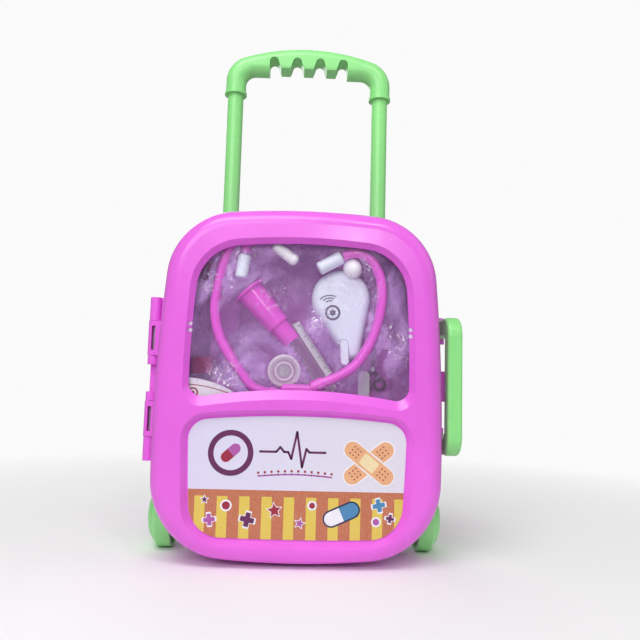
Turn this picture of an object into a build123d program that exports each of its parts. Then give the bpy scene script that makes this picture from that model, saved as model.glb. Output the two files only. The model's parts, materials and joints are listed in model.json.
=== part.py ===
"""Toy doctor case: an upright pink trolley case with a windowed door, a green pull handle,
a green carry handle, two wheels, and a clear bag of toy instruments inside.

Frame: X to the right of someone facing the door, Y from the door to the back, Z up.
The origin is on the floor, midway in width and in depth. Lengths are millimetres."""
from build123d import *
from math import atan2, degrees, hypot, radians, sqrt, tan
import os

os.makedirs("parts", exist_ok=True)

# ---------------------------------------------------------------- case outline, seen from the front
floor_gap = 2.9            # lowest point of the door above the floor
case_height = 270.7
waist_half = 110.9         # widest half width
waist_rise = 95.0          # height of the widest place above the door's lowest point
foot_taper = 2.4           # how much less the half width is where side and bottom arcs would meet
head_taper = 9.5           # the same where side and top arcs would meet
bottom_crown = 9.1         # how far the bottom arc sags below its ends
top_crown = 8.6
foot_radius = 60.0
head_radius = 55.0

# ---------------------------------------------------------------- depths, front to back
lid_depth = 30.0
parting_gap = 0.4
tray_depth = 51.6
axle_inset = 13.0          # from the back of the case forward to the axles
post_inset = 12.0          # the same to the pull handle's posts
pivot_inset = 12.0         # the same to the carry handle's pivots

# ---------------------------------------------------------------- walls and edges
wall = 2.2
lid_edge_radius = 13.0
tray_edge_radius = 8.0
tray_draft = 1.5           # degrees
tray_step = 0.6            # the tray is this much smaller all round than the door
lip_height = 3.0
lip_thickness = 1.4
lip_clearance = 0.5

# ---------------------------------------------------------------- window in the door
window_head_gap = 24.1     # from the case's top down to the window's
window_crown = 7.0
window_head_margin = 18.9  # inside the case's head, seen from the front
window_waist_margin = 23.0 # inside the case's widest place
window_waist = 147.0
window_foot_margin = 23.3
window_arch = 9.3          # the lower edge rises this much from its ends to the middle
window_bottom = 128.4      # middle of the lower edge
window_head_radius = 40.0
window_foot_radius = 14.0
reveal_depth = 5.0
reveal_slope = 38.0        # degrees from the direction of view
sill_drop = 3.2            # the reveal's slope runs this much further down at the bottom
bead = 3.0                 # thickened rim round the window
bead_depth = 6.5
pane_thickness = 1.2
pane_lap = 4.0             # the pane reaches this far behind the rim
rivet_radius = 1.6
rivet_rise = 178.3
rivet_pitch = 5.0
rivet_inset = 0.6          # from the clear opening's edge to the lugs' middles
rivet_length = 2.6
seam = 0.05                # between a pane or a plate and its seat

# ---------------------------------------------------------------- label below the window
label_top = 112.6
label_crown = 4.9
label_head_margin = 28.5   # inside the case's widest place
label_waist_margin = 29.7
label_waist = 70.0
label_foot_margin = 30.3   # inside the case's foot
label_sag = 1.6
label_bottom = 21.9
label_head_radius = 15.0
label_foot_radius = 25.0
label_thickness = 0.6
recess_depth = 5.0
recess_margin = 1.2        # flat floor left round the label
recess_slope = 38.0        # degrees from the direction of view

# ---------------------------------------------------------------- door hinge
hinge_outset = 6.1         # outside the case's widest place
knuckle_radius = 4.4
clip_radius = 4.8
hinge_pin_radius = 1.8
hinge_clearance = 0.08     # between a pin and the clip that turns on it
knuckle_gap = 0.3
pin_chamfer = 0.3
hinge_middle = 138.7       # the two hinges mirror about this height
strip_half = 17.7
clip_length = 27.4
knuckle_length = 18.6
strip_knuckle = 7.0
clip_slot = 3.0
clip_ring = 4.0
strip_thickness = 3.2
strip_reach = 1.9          # the strip stands this far beyond the pins' line
pin_inset = 1.0            # the pins end this far inside the outer knuckles

# ---------------------------------------------------------------- door latch
latch_height = 24.0
latch_thickness = 2.6
latch_pivot_outset = 3.3   # outside the case's widest place
latch_pivot_back = 20.0    # behind the door's rear edge
latch_tip_ahead = 8.0      # in front of it
latch_rise = 138.0         # middle of the latch above the floor
tooth_depth = 2.6
catch_ahead = 5.0          # from the door's rear edge forward to the catch's face
catch_depth = 2.4
catch_height = 1.7
latch_pin_radius = 1.25
latch_eye_radius = 2.7
latch_ear = 3.0
latch_clearance = 0.3
thumb_lip = 3.4
thumb_slope = 5.0

# ---------------------------------------------------------------- pull handle
post_x = 65.0
post_radius = 7.0
post_wall = 1.6
collar_bottom = 394.0
collar_radius = 9.0
grip_height = 45.0         # from the collars' mouths to the crown
shoulder_drop = 16.0       # below the crown, where its arc would meet the outside of a leg
underside_drop = 26.0
grip_outer_radius = 24.0
grip_inner_radius = 9.0
grip_round = 8.6
finger_pitch = 20.6
finger_half = 35.0         # half width of the finger zone
finger_roof_drop = 11.0
finger_radius = 4.0
finger_flare = 6.2
tooth_drop = 21.0
socket_depth = 14.0
collar_bead = 0.8
collar_bead_height = 2.4
bush_rise = 0.4            # the bushes stand this far above the case's top
bush_flange = 2.5
bush_flange_radius = 10.0
bush_sleeve_radius = 8.5
bush_length = 14.0
post_clearance = 0.2
slider_radius = 9.0
slider_length = 24.0
slider_clearance = 0.4
slider_chamfer = 0.6
slider_socket = 4.0        # floor left under the post in the slider
stop_gap = 0.5             # between slider and bush when the handle is out
channel_foot_gap = 7.0     # above the back cover's foot
slot_top_gap = 8.0         # the channels open to the back up to here below the cover's top
post_boss_radius = 11.5

# ---------------------------------------------------------------- back cover
cover_margin = 14.0        # outside the posts' middles
cover_bottom = 97.0
cover_head_gap = 27.6      # below the case's top
cover_radius = 10.0
cover_thickness = 2.2
cover_clearance = 0.3
screw_inset = 21.0         # inside the posts' middles
screw_margin = 14.5        # from the cover's foot and top
screw_radius = 1.3
screw_length = 9.0
screw_head_radius = 2.8
screw_head_height = 1.6
screw_boss_radius = 3.6
screw_hole_clearance = 0.25
screw_cross = 3.2
screw_cross_width = 0.7
screw_cross_depth = 0.8

# ---------------------------------------------------------------- carry handle
handle_bottom = 84.0
handle_top = 193.0
handle_gap = 3.3           # outside the case's widest place
handle_thickness = 11.5
handle_front_setback = 6.0
handle_width = 14.0
handle_bend = 16.0
handle_edge = 2.4
lug_thickness = 4.0
lug_gap = 0.3
handle_pin_radius = 2.0
handle_pin_clearance = 0.08

# ---------------------------------------------------------------- wheels
wheel_radius = 26.4
wheel_overlap = 10.1       # the wheels reach this far inside the case's widest place
tread_width = 11.3
wheel_shoulder = 4.0       # from the tread's edge to the dome's rim, along the axle
shoulder_radius = 21.4
dome_reach = 4.9
dome_flat_radius = 9.0
rim_wall = 2.4
hub_radius = 6.0
hub_reach = 1.0            # the hub stands this far beyond the wheel's web
web_thickness = 2.4
spoke_setback = 1.0
cap_seam = 0.1
cap_wall = 1.8
dome_bulge = 0.72          # share of the dome's reach gained halfway to its flat
axle_radius = 2.0
axle_clearance = 0.08
axle_depth = 16.0          # length pressed into the boss
axle_head_radius = 4.0
axle_head = 1.6
axle_head_gap = 0.2
well_clearance = 2.6
well_gap = 2.3             # between a well's floor and the wheel
boss_radius = 6.5
boss_length = 18.8
wheel_side_gap = 0.5
spokes = 6
spoke_width = 2.0

# ---------------------------------------------------------------- feet
foot_x = 36.0
foot_length = 22.0
foot_depth = 9.0
foot_inset = 6.1           # behind the tray's front edge
foot_rise = 6.4            # from the floor into the tray's bottom wall

# ---------------------------------------------------------------- clear bag of instruments
bag_front_gap = 0.5        # behind the pane
bag_back_gap = 0.6         # in front of the post channels
bag_film = 0.5
bag_side_gap = 16.9        # inside the case's widest place
bag_foot_gap = 6.6         # above the door's lowest point
bag_head_gap = 11.6        # below the door's highest point
bag_foot_radius = 50.0
bag_head_radius = 44.0
bag_edge = 7.0
bag_taper = 2.0            # the bag's foot is this much narrower each side than its waist
bag_sag = 6.5
bag_crown = 6.0
rest_gap = 0.3             # between a toy and the film or the toy that it leans on

# ---------------------------------------------------------------- places that follow from the sizes
foot_half = waist_half - foot_taper
head_half = waist_half - head_taper
case_top = floor_gap + case_height
case_depth = lid_depth + parting_gap + tray_depth
front_y = -(case_depth - axle_inset + wheel_radius) / 2
parting_y = front_y + lid_depth
tray_front_y = parting_y + parting_gap
tray_back_y = tray_front_y + tray_depth
axle_y = tray_back_y - axle_inset
axle_z = wheel_radius
post_y = tray_back_y - post_inset
pivot_y = tray_back_y - pivot_inset
window_top = case_top - window_head_gap
window_head_half = head_half - window_head_margin
window_waist_half = waist_half - window_waist_margin
window_foot_half = waist_half - window_foot_margin
label_head_half = waist_half - label_head_margin
label_waist_half = waist_half - label_waist_margin
label_foot_half = foot_half - label_foot_margin
bush_top = case_top + bush_rise
bush_seat = bush_top - bush_flange
bush_foot = bush_seat - bush_length
cover_y = tray_back_y - cover_thickness
cover_half = post_x + cover_margin
cover_top = case_top - cover_head_gap
channel_foot = cover_bottom + channel_foot_gap
slot_top = cover_top - slot_top_gap
screw_x = post_x - screw_inset
screw_rows = (cover_bottom + screw_margin, (cover_bottom + cover_top) / 2,
              cover_top - screw_margin)
slot_half = slider_radius + slider_clearance
grip_crown = collar_bottom + grip_height
grip_shoulder = grip_crown - shoulder_drop
grip_underside = grip_crown - underside_drop
finger_roof = grip_crown - finger_roof_drop
tooth_bottom = grip_crown - tooth_drop
hinge_x = -waist_half - hinge_outset
hinge_y = parting_y + parting_gap / 2
latch_pivot_x = waist_half + latch_pivot_outset
latch_pivot_y = parting_y + latch_pivot_back
latch_tip_y = parting_y - latch_tip_ahead
handle_inner_x = waist_half + handle_gap
wheel_inner_x = waist_half - wheel_overlap
well_inner_x = wheel_inner_x - well_gap
boss_inner_x = wheel_inner_x - boss_length
handle_pivot_x = handle_inner_x + handle_thickness / 2
well_radius = wheel_radius + well_clearance
bag_half = waist_half - bag_side_gap
bag_bottom = floor_gap + bag_foot_gap
bag_top = case_top - bag_head_gap
bag_front_y = front_y + bead_depth + seam + pane_thickness + bag_front_gap
bag_back_y = post_y - slot_half - wall - bag_back_gap
film_front_y = bag_front_y + bag_film + rest_gap    # foremost place for a toy
film_back_y = bag_back_y - bag_film - rest_gap      # rearmost place for a toy


def facing_front(y):
    """A sketch plane at depth y that faces the door: its own X and Y are the case's X and Z."""
    return Plane.XZ.offset(-y)


def facing_back(y):
    """A sketch plane at depth y that faces the back: its own X runs to the case's left."""
    return Plane(origin=(0, y, 0), x_dir=(-1, 0, 0), z_dir=(0, 1, 0))


def facing_right(x):
    """A sketch plane at width x that faces right: its own X and Y are the case's Y and Z."""
    return Plane.YZ.offset(x)


def crowned_outline(foot, waist, head, bottom, waist_z, top, sag, crown, foot_r, head_r):
    """A closed outline of four arcs with rounded corners, symmetric about the middle.

    foot, waist and head are half widths. A positive sag lets the bottom arc hang below its
    ends, a negative one arches it upward."""
    with BuildSketch() as outline:
        with BuildLine():
            ThreePointArc((-foot, bottom + sag), (0, bottom), (foot, bottom + sag))
            ThreePointArc((foot, bottom + sag), (waist, waist_z), (head, top - crown))
            ThreePointArc((head, top - crown), (0, top), (-head, top - crown))
            ThreePointArc((-head, top - crown), (-waist, waist_z), (-foot, bottom + sag))
        make_face()
        low = outline.vertices().group_by(Axis.Y)[0]
        fillet(low, foot_r)
        high = [v for v in outline.vertices() if abs(abs(v.X) - head) < 1e-3 and v.Y > waist_z]
        fillet(high, head_r)
    return outline.sketch


def side_half(z):
    """Half width of the case at height z: the side arc goes through its three named points."""
    points = [
        (foot_half, floor_gap + bottom_crown),
        (waist_half, floor_gap + waist_rise),
        (head_half, floor_gap + case_height - top_crown),
    ]
    (x1, z1), (x2, z2), (x3, z3) = points
    area = 2 * (x1 * (z2 - z3) + x2 * (z3 - z1) + x3 * (z1 - z2))
    s1, s2, s3 = (x * x + h * h for x, h in points)
    centre_x = (s1 * (z2 - z3) + s2 * (z3 - z1) + s3 * (z1 - z2)) / area
    centre_z = (s1 * (x3 - x2) + s2 * (x1 - x3) + s3 * (x2 - x1)) / area
    radius = hypot(x1 - centre_x, z1 - centre_z)
    return centre_x + sqrt(radius ** 2 - (z - centre_z) ** 2)


def tray_half(z, y):
    """Half width of the tray's outside at height z and depth y."""
    return side_half(z) - tray_step - (y - tray_front_y) * tan(radians(tray_draft))


def smooth_radii(points):
    """For each inner point of a route, the largest bend radius that its two runs allow."""
    radii = []
    for before, corner, after in zip(points, points[1:], points[2:]):
        run_in, run_out = Vector(corner) - Vector(before), Vector(after) - Vector(corner)
        turn = radians(run_in.get_angle(run_out))
        radii.append(0.45 * min(run_in.length, run_out.length) / tan(turn / 2))
    return radii


def grown(outline, amount):
    """The outline with an even margin all round, each edge redrawn as a true arc."""
    with BuildSketch() as raw:
        add(outline)
        offset(amount=amount)
    with BuildSketch() as parallel:
        with BuildLine():
            for edge in raw.sketch.face().outer_wire().edges():
                ThreePointArc(edge @ 0, edge @ 0.5, edge @ 1)
        make_face()
    return parallel.sketch


case_outline = crowned_outline(
    foot_half, waist_half, head_half, floor_gap, floor_gap + waist_rise,
    floor_gap + case_height, bottom_crown, top_crown, foot_radius, head_radius)
window_outline = crowned_outline(
    window_foot_half, window_waist_half, window_head_half, window_bottom, window_waist,
    window_top, -window_arch, window_crown, window_foot_radius, window_head_radius)
sill_outline = crowned_outline(
    window_foot_half, window_waist_half, window_head_half, window_bottom - sill_drop,
    window_waist, window_top, -window_arch, window_crown, window_foot_radius,
    window_head_radius)
label_outline = crowned_outline(
    label_foot_half, label_waist_half, label_head_half, label_bottom, label_waist,
    label_top, label_sag, label_crown, label_foot_radius, label_head_radius)
reveal_inset = reveal_depth * tan(radians(reveal_slope))
recess_inset = recess_depth * tan(radians(recess_slope))


def hinge_spans():
    """The heights (start, end) of clips, outer knuckles and strip knuckles, upper then lower."""
    spans = {"clip": [], "knuckle": [], "strip": []}
    for side in (1, -1):
        strip_end = hinge_middle + side * strip_half
        clip_start = strip_end + side * knuckle_gap
        clip_end = clip_start + side * clip_length
        knuckle_start = clip_end + side * knuckle_gap
        spans["strip"].append(sorted((strip_end, strip_end - side * strip_knuckle)))
        spans["clip"].append(sorted((clip_start, clip_end)))
        spans["knuckle"].append(
            sorted((knuckle_start, knuckle_start + side * knuckle_length)))
    return spans


hinges = hinge_spans()


def rivet_places():
    """Middles of the pane's snap lugs, as (x, z)."""
    x = window_waist_half - reveal_inset + rivet_inset
    return [(side * x, rivet_rise + half * rivet_pitch / 2) for side in (1, -1) for half in (1, -1)]


def screw_places():
    """Middles of the back cover's screws, as (x, z)."""
    return [(side * screw_x, row) for side in (1, -1) for row in screw_rows]


def pin_spans():
    """The heights (start, end) of the upper and the lower hinge pin."""
    return [
        (hinges["strip"][0][0], hinges["knuckle"][0][1] - pin_inset),
        (hinges["knuckle"][1][0] + pin_inset, hinges["strip"][1][1]),
    ]


def latch_ear_heights():
    """Lower faces of the two ears that hold the latch's pin."""
    reach = latch_height / 2 + latch_clearance
    return [latch_rise + reach, latch_rise - reach - latch_ear]


def leg_heights():
    """Lower faces of the carry handle's two legs."""
    return [handle_bottom, handle_top - handle_width]


def lug_heights():
    """Lower faces of the four lugs: one above and one below each leg."""
    return [z for low in leg_heights()
            for z in (low - lug_gap - lug_thickness, low + handle_width + lug_gap)]


# ================================================================ door
with BuildPart() as lid_cavity:
    with BuildSketch(facing_front(parting_y)):
        add(grown(case_outline, -wall))
    extrude(amount=lid_depth - wall)
    fillet(lid_cavity.edges().group_by(Axis.Y)[0], lid_edge_radius - wall)

with BuildPart() as lid:
    with BuildSketch(facing_front(parting_y)):
        add(case_outline)
    extrude(amount=lid_depth)
    fillet(lid.edges().group_by(Axis.Y)[0], lid_edge_radius)
    add(lid_cavity.part, mode=Mode.SUBTRACT)
    # thick rim round the window, and the pan that sinks the label below the face
    with BuildSketch(facing_front(front_y + bead_depth)):
        add(grown(window_outline, bead))
    extrude(amount=bead_depth - wall / 2)
    with BuildSketch(facing_front(front_y + recess_depth + wall)):
        add(grown(label_outline, recess_margin + recess_inset + wall))
    extrude(amount=recess_depth + wall / 2)
    # sloped reveal and clear opening of the window, then the sloped recess of the label
    with BuildSketch(facing_front(front_y)):
        add(sill_outline)
    with BuildSketch(facing_front(front_y + reveal_depth)):
        add(grown(window_outline, -reveal_inset))
    loft(ruled=True, mode=Mode.SUBTRACT)
    with BuildSketch(facing_front(front_y)):
        add(grown(window_outline, -reveal_inset))
    extrude(amount=-bead_depth, mode=Mode.SUBTRACT)
    with BuildSketch(facing_front(front_y)):
        add(grown(label_outline, recess_margin + recess_inset))
    with BuildSketch(facing_front(front_y + recess_depth)):
        add(grown(label_outline, recess_margin))
    loft(ruled=True, mode=Mode.SUBTRACT)
    # holes for the pane's snap lugs
    with BuildSketch(facing_front(front_y + bead_depth)):
        with Locations(*rivet_places()):
            Circle(rivet_radius + seam)
    extrude(amount=bead_depth, mode=Mode.SUBTRACT)
    # hinge clips: a round eye on a web, slotted in front, for each hinge pin
    for low, high in hinges["clip"]:
        root = side_half((low + high) / 2) - wall / 2
        with BuildSketch(Plane.XY.offset(low)):
            with Locations((hinge_x, hinge_y)):
                Circle(clip_radius)
            with Locations((hinge_x, parting_y)):
                Rectangle(-root - hinge_x, clip_radius, align=(Align.MIN, Align.MAX))
        extrude(amount=high - low)
        with BuildSketch(Plane.XY.offset(low)):
            with Locations((hinge_x, hinge_y)):
                Circle(hinge_pin_radius + hinge_clearance)
        extrude(amount=high - low, mode=Mode.SUBTRACT)
        with BuildSketch(Plane.XY.offset(low + clip_ring)):
            with Locations((hinge_x, hinge_y)):
                Rectangle(clip_slot, 2 * clip_radius, align=(Align.CENTER, Align.MAX))
        extrude(amount=high - low - 2 * clip_ring, mode=Mode.SUBTRACT)
    # catch that the latch hooks over
    with BuildSketch(Plane.XY.offset(latch_rise - latch_height / 2)):
        with Locations((side_half(latch_rise) - wall / 2, parting_y - catch_ahead)):
            Rectangle(wall / 2 + catch_height, catch_depth, align=(Align.MIN, Align.MIN))
    extrude(amount=latch_height)
lid.part.label = "lid"

with BuildPart() as lid_window:
    with BuildSketch(facing_front(front_y + bead_depth + seam + pane_thickness)):
        add(grown(window_outline, pane_lap - reveal_inset))
    extrude(amount=pane_thickness)
    with BuildSketch(facing_front(front_y + bead_depth + seam)):
        with Locations(*rivet_places()):
            Circle(rivet_radius)
    extrude(amount=rivet_length)
lid_window.part.label = "lid_window"

with BuildPart() as label_panel:
    with BuildSketch(facing_front(front_y + recess_depth - seam)):
        add(label_outline)
    extrude(amount=label_thickness)
label_panel.part.label = "label_panel"

# ================================================================ tray
with BuildPart() as tray_blank:
    with BuildSketch(facing_back(tray_front_y)):
        add(grown(case_outline, -tray_step))
    extrude(amount=tray_depth, taper=tray_draft)
    fillet(tray_blank.edges().group_by(Axis.Y)[-1], tray_edge_radius)

with BuildPart() as tray_cavity:
    with BuildSketch(facing_back(tray_front_y)):
        add(grown(case_outline, -tray_step - wall))
    extrude(amount=tray_depth - wall, taper=tray_draft)
    fillet(tray_cavity.edges().group_by(Axis.Y)[-1], tray_edge_radius - wall)

with BuildPart() as well_housings:
    for side in (1, -1):
        with BuildSketch(facing_right(side * (well_inner_x - wall))):
            with Locations((axle_y, axle_z)):
                Circle(well_radius + wall)
        extrude(amount=side * waist_half)
    add(tray_blank.part, mode=Mode.INTERSECT)

with BuildPart() as tray:
    add(tray_blank.part)
    add(tray_cavity.part, mode=Mode.SUBTRACT)
    # lip that stands inside the door's edge
    with BuildSketch(facing_front(tray_front_y + wall)):
        add(grown(case_outline, -wall - lip_clearance))
        add(grown(case_outline, -wall - lip_clearance - lip_thickness), mode=Mode.SUBTRACT)
    extrude(amount=lip_height + wall)
    # thick ground behind the cover plate
    with BuildSketch(facing_front(tray_back_y)):
        with Locations((0, (cover_bottom + cover_top) / 2)):
            RectangleRounded(
                2 * (cover_half + wall), cover_top - cover_bottom + 2 * wall, cover_radius + wall)
    extrude(amount=cover_thickness + wall)
    # channels for the pull handle's posts, closed in front, and their top bosses
    for side in (1, -1):
        with BuildSketch(facing_front(cover_y)):
            with Locations((side * post_x, channel_foot - wall)):
                Rectangle(2 * (slot_half + wall), bush_foot - channel_foot + 2 * wall,
                          align=(Align.CENTER, Align.MIN))
        extrude(amount=cover_y - post_y + slot_half + wall)
        with BuildSketch(Plane.XY.offset(bush_foot)):
            with Locations((side * post_x, post_y)):
                Circle(post_boss_radius)
        extrude(amount=bush_length)
    # screw bosses
    with BuildSketch(facing_front(cover_y)):
        with Locations(*screw_places()):
            Circle(screw_boss_radius)
    extrude(amount=screw_length + wall)
    # wheel wells and axle bosses
    add(well_housings.part)
    for side in (1, -1):
        with BuildSketch(facing_right(side * well_inner_x)):
            with Locations((axle_y, axle_z)):
                Circle(well_radius)
        extrude(amount=side * waist_half, mode=Mode.SUBTRACT)
        with BuildSketch(facing_right(side * boss_inner_x)):
            with Locations((axle_y, axle_z)):
                Circle(boss_radius)
        extrude(amount=side * (wheel_inner_x - wheel_side_gap - boss_inner_x))
        with BuildSketch(facing_right(side * (wheel_inner_x - wheel_side_gap))):
            with Locations((axle_y, axle_z)):
                Circle(axle_radius + seam)
        extrude(amount=-side * axle_depth, mode=Mode.SUBTRACT)
    # seat for the cover, slots and bores for the posts, and screw holes
    with BuildSketch(facing_front(tray_back_y)):
        with Locations((0, (cover_bottom + cover_top) / 2)):
            RectangleRounded(
                2 * (cover_half + cover_clearance),
                cover_top - cover_bottom + 2 * cover_clearance, cover_radius)
    extrude(amount=cover_thickness + seam, mode=Mode.SUBTRACT)
    for side in (1, -1):
        with BuildSketch(facing_front(tray_back_y)):
            with Locations((side * post_x, channel_foot)):
                Rectangle(2 * slot_half, slot_top - channel_foot,
                          align=(Align.CENTER, Align.MIN))
        extrude(amount=tray_back_y - post_y + slot_half, mode=Mode.SUBTRACT)
        with BuildSketch(Plane.XY.offset(slot_top)):
            with Locations((side * post_x, post_y)):
                Circle(slot_half)
        extrude(amount=bush_foot - slot_top, mode=Mode.SUBTRACT)
        with BuildSketch(Plane.XY.offset(bush_foot)):
            with Locations((side * post_x, post_y)):
                Circle(bush_sleeve_radius + seam)
        extrude(amount=bush_length, mode=Mode.SUBTRACT)
    with BuildSketch(facing_front(cover_y)):
        with Locations(*screw_places()):
            Circle(screw_radius + seam)
    extrude(amount=screw_length, mode=Mode.SUBTRACT)
    # hinge knuckles, and the strip between the two hinges
    for low, high in hinges["knuckle"] + hinges["strip"]:
        root = tray_half((low + high) / 2, tray_front_y) - wall / 2
        with BuildSketch(Plane.XY.offset(low)):
            with Locations((hinge_x, hinge_y)):
                Circle(knuckle_radius)
            with Locations((hinge_x, tray_front_y)):
                Rectangle(-root - hinge_x, knuckle_radius, align=(Align.MIN, Align.MIN))
        extrude(amount=high - low)
    with BuildSketch(Plane.XY.offset(hinge_middle - strip_half)):
        with Locations((hinge_x - strip_reach, tray_front_y)):
            Rectangle(strip_reach - hinge_x - tray_half(hinge_middle, tray_front_y) + wall / 2,
                      strip_thickness, align=(Align.MIN, Align.MIN))
    extrude(amount=2 * strip_half)
    for low, high in pin_spans():
        with BuildSketch(Plane.XY.offset(low)):
            with Locations((hinge_x, hinge_y)):
                Circle(hinge_pin_radius + seam)
        extrude(amount=high - low, mode=Mode.SUBTRACT)
    # ears for the latch
    for low in latch_ear_heights():
        root = tray_half(low, latch_pivot_y) - wall / 2
        with BuildSketch(Plane.XY.offset(low)):
            with Locations((latch_pivot_x, latch_pivot_y)):
                Circle(latch_eye_radius)
                Rectangle(latch_pivot_x - root, 2 * latch_eye_radius,
                          align=(Align.MAX, Align.CENTER))
            with Locations((latch_pivot_x, latch_pivot_y)):
                Circle(latch_pin_radius + seam, mode=Mode.SUBTRACT)
        extrude(amount=latch_ear)
    # lugs for the carry handle
    for low in lug_heights():
        root = tray_half(low + lug_thickness, pivot_y) - wall / 2
        with BuildSketch(Plane.XY.offset(low)):
            with Locations((handle_pivot_x, pivot_y)):
                Circle(handle_thickness / 2)
                Rectangle(handle_pivot_x - root, handle_thickness,
                          align=(Align.MAX, Align.CENTER))
            with Locations((handle_pivot_x, pivot_y)):
                Circle(handle_pin_radius + seam, mode=Mode.SUBTRACT)
        extrude(amount=lug_thickness)
    # front feet
    with BuildSketch(Plane.XY):
        with Locations(*[(side * foot_x, tray_front_y + foot_inset) for side in (1, -1)]):
            RectangleRounded(foot_length, foot_depth, foot_depth / 4)
    extrude(amount=foot_rise)
tray.part.label = "tray"

# ================================================================ hinge pins
hinge_pins = {}
for name, (low, high) in zip(("hinge_pin_upper", "hinge_pin_lower"), pin_spans()):
    with BuildPart() as hinge_pin:
        with BuildSketch(Plane.XY.offset(low)):
            with Locations((hinge_x, hinge_y)):
                Circle(hinge_pin_radius)
        extrude(amount=high - low)
        chamfer(hinge_pin.edges(), pin_chamfer)
    hinge_pin.part.label = name
    hinge_pins[name] = hinge_pin.part

# ================================================================ latch
plate_x = side_half(latch_rise) + catch_height + latch_clearance
with BuildPart() as latch:
    with BuildSketch(Plane.XY.offset(latch_rise - latch_height / 2)):
        with Locations((plate_x, latch_tip_y)):
            Rectangle(latch_thickness, latch_pivot_y - latch_tip_y,
                      align=(Align.MIN, Align.MIN))
            Rectangle(catch_height, tooth_depth, align=(Align.MAX, Align.MIN))
        with BuildLine():
            Polyline(
                (plate_x + latch_thickness, latch_tip_y),
                (plate_x + latch_thickness + thumb_lip, latch_tip_y),
                (plate_x + latch_thickness, latch_tip_y + thumb_slope),
                close=True)
        make_face()
        with Locations((latch_pivot_x, latch_pivot_y)):
            Circle(latch_eye_radius)
            Circle(latch_pin_radius + hinge_clearance, mode=Mode.SUBTRACT)
    extrude(amount=latch_height)
latch.part.label = "latch"

with BuildPart() as latch_pin:
    ear_low = min(latch_ear_heights())
    with BuildSketch(Plane.XY.offset(ear_low)):
        with Locations((latch_pivot_x, latch_pivot_y)):
            Circle(latch_pin_radius)
    extrude(amount=max(latch_ear_heights()) + latch_ear - ear_low)
latch_pin.part.label = "latch_pin"

# ================================================================ back cover and its screws
with BuildPart() as back_cover:
    with BuildSketch(facing_front(tray_back_y)):
        with Locations((0, (cover_bottom + cover_top) / 2)):
            RectangleRounded(2 * cover_half, cover_top - cover_bottom, cover_radius)
    extrude(amount=cover_thickness)
    with BuildSketch(facing_front(tray_back_y)):
        with Locations(*screw_places()):
            Circle(screw_head_radius + seam)
    extrude(amount=screw_head_height, mode=Mode.SUBTRACT)
    with BuildSketch(facing_front(tray_back_y)):
        with Locations(*screw_places()):
            Circle(screw_radius + screw_hole_clearance)
    extrude(amount=cover_thickness, mode=Mode.SUBTRACT)
back_cover.part.label = "back_cover"

with BuildPart() as back_cover_screws:
    with BuildSketch(facing_front(tray_back_y)):
        with Locations(*screw_places()):
            Circle(screw_head_radius)
    extrude(amount=screw_head_height - seam)
    with BuildSketch(facing_front(tray_back_y - screw_head_height + 2 * seam)):
        with Locations(*screw_places()):
            Circle(screw_radius)
    extrude(amount=screw_length)
    with BuildSketch(facing_front(tray_back_y)):
        with Locations(*screw_places()):
            Rectangle(screw_cross, screw_cross_width)
            Rectangle(screw_cross_width, screw_cross)
    extrude(amount=screw_cross_depth, mode=Mode.SUBTRACT)
back_cover_screws.part.label = "back_cover_screws"

# ================================================================ pull handle
with BuildPart() as pull_grip:
    leg_out, leg_in = post_x + collar_radius, post_x - collar_radius
    with BuildSketch(facing_front(post_y + collar_radius)) as grip_outline:
        with BuildLine():
            Polyline((leg_out, grip_shoulder), (leg_out, collar_bottom),
                     (leg_in, collar_bottom), (leg_in, grip_underside),
                     (-leg_in, grip_underside), (-leg_in, collar_bottom),
                     (-leg_out, collar_bottom), (-leg_out, grip_shoulder))
            ThreePointArc((-leg_out, grip_shoulder), (0, grip_crown), (leg_out, grip_shoulder))
        make_face()
        for height, radius in ((grip_shoulder, grip_outer_radius),
                               (grip_underside, grip_inner_radius)):
            fillet([v for v in grip_outline.vertices() if abs(v.Y - height) < seam], radius)
    extrude(amount=2 * collar_radius)
    long_edges = pull_grip.edges().filter_by(
        lambda e: abs(abs(e.center().Y - post_y) - collar_radius) < seam
        and e.center().Z > collar_bottom + seam)
    fillet(long_edges, grip_round)
    # finger zone: a raised underside with four rounded notches through it
    with BuildSketch(facing_front(post_y + collar_radius)):
        with Locations((0, grip_underside)):
            Rectangle(2 * finger_half, tooth_bottom - grip_underside,
                      align=(Align.CENTER, Align.MIN))
        for place in (-1.5, -0.5, 0.5, 1.5):
            with Locations((place * finger_pitch, finger_roof - finger_radius)):
                Circle(finger_radius)
            with BuildLine():
                Polyline(
                    (place * finger_pitch - finger_radius, finger_roof - finger_radius),
                    (place * finger_pitch - finger_flare, tooth_bottom),
                    (place * finger_pitch + finger_flare, tooth_bottom),
                    (place * finger_pitch + finger_radius, finger_roof - finger_radius),
                    close=True)
            make_face()
        with Locations((0, (finger_roof + grip_underside) / 2)):
            Rectangle(2 * finger_half, grip_crown - grip_underside, mode=Mode.INTERSECT)
    extrude(amount=2 * collar_radius, mode=Mode.SUBTRACT)
    # sockets for the posts, with a bead round each mouth
    for side in (1, -1):
        with BuildSketch(Plane.XY.offset(collar_bottom)):
            with Locations((side * post_x, post_y)):
                Circle(collar_radius + collar_bead)
        extrude(amount=collar_bead_height)
        with BuildSketch(Plane.XY.offset(collar_bottom)):
            with Locations((side * post_x, post_y)):
                Circle(post_radius + seam)
        extrude(amount=socket_depth, mode=Mode.SUBTRACT)
pull_grip.part.label = "pull_grip"

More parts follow.
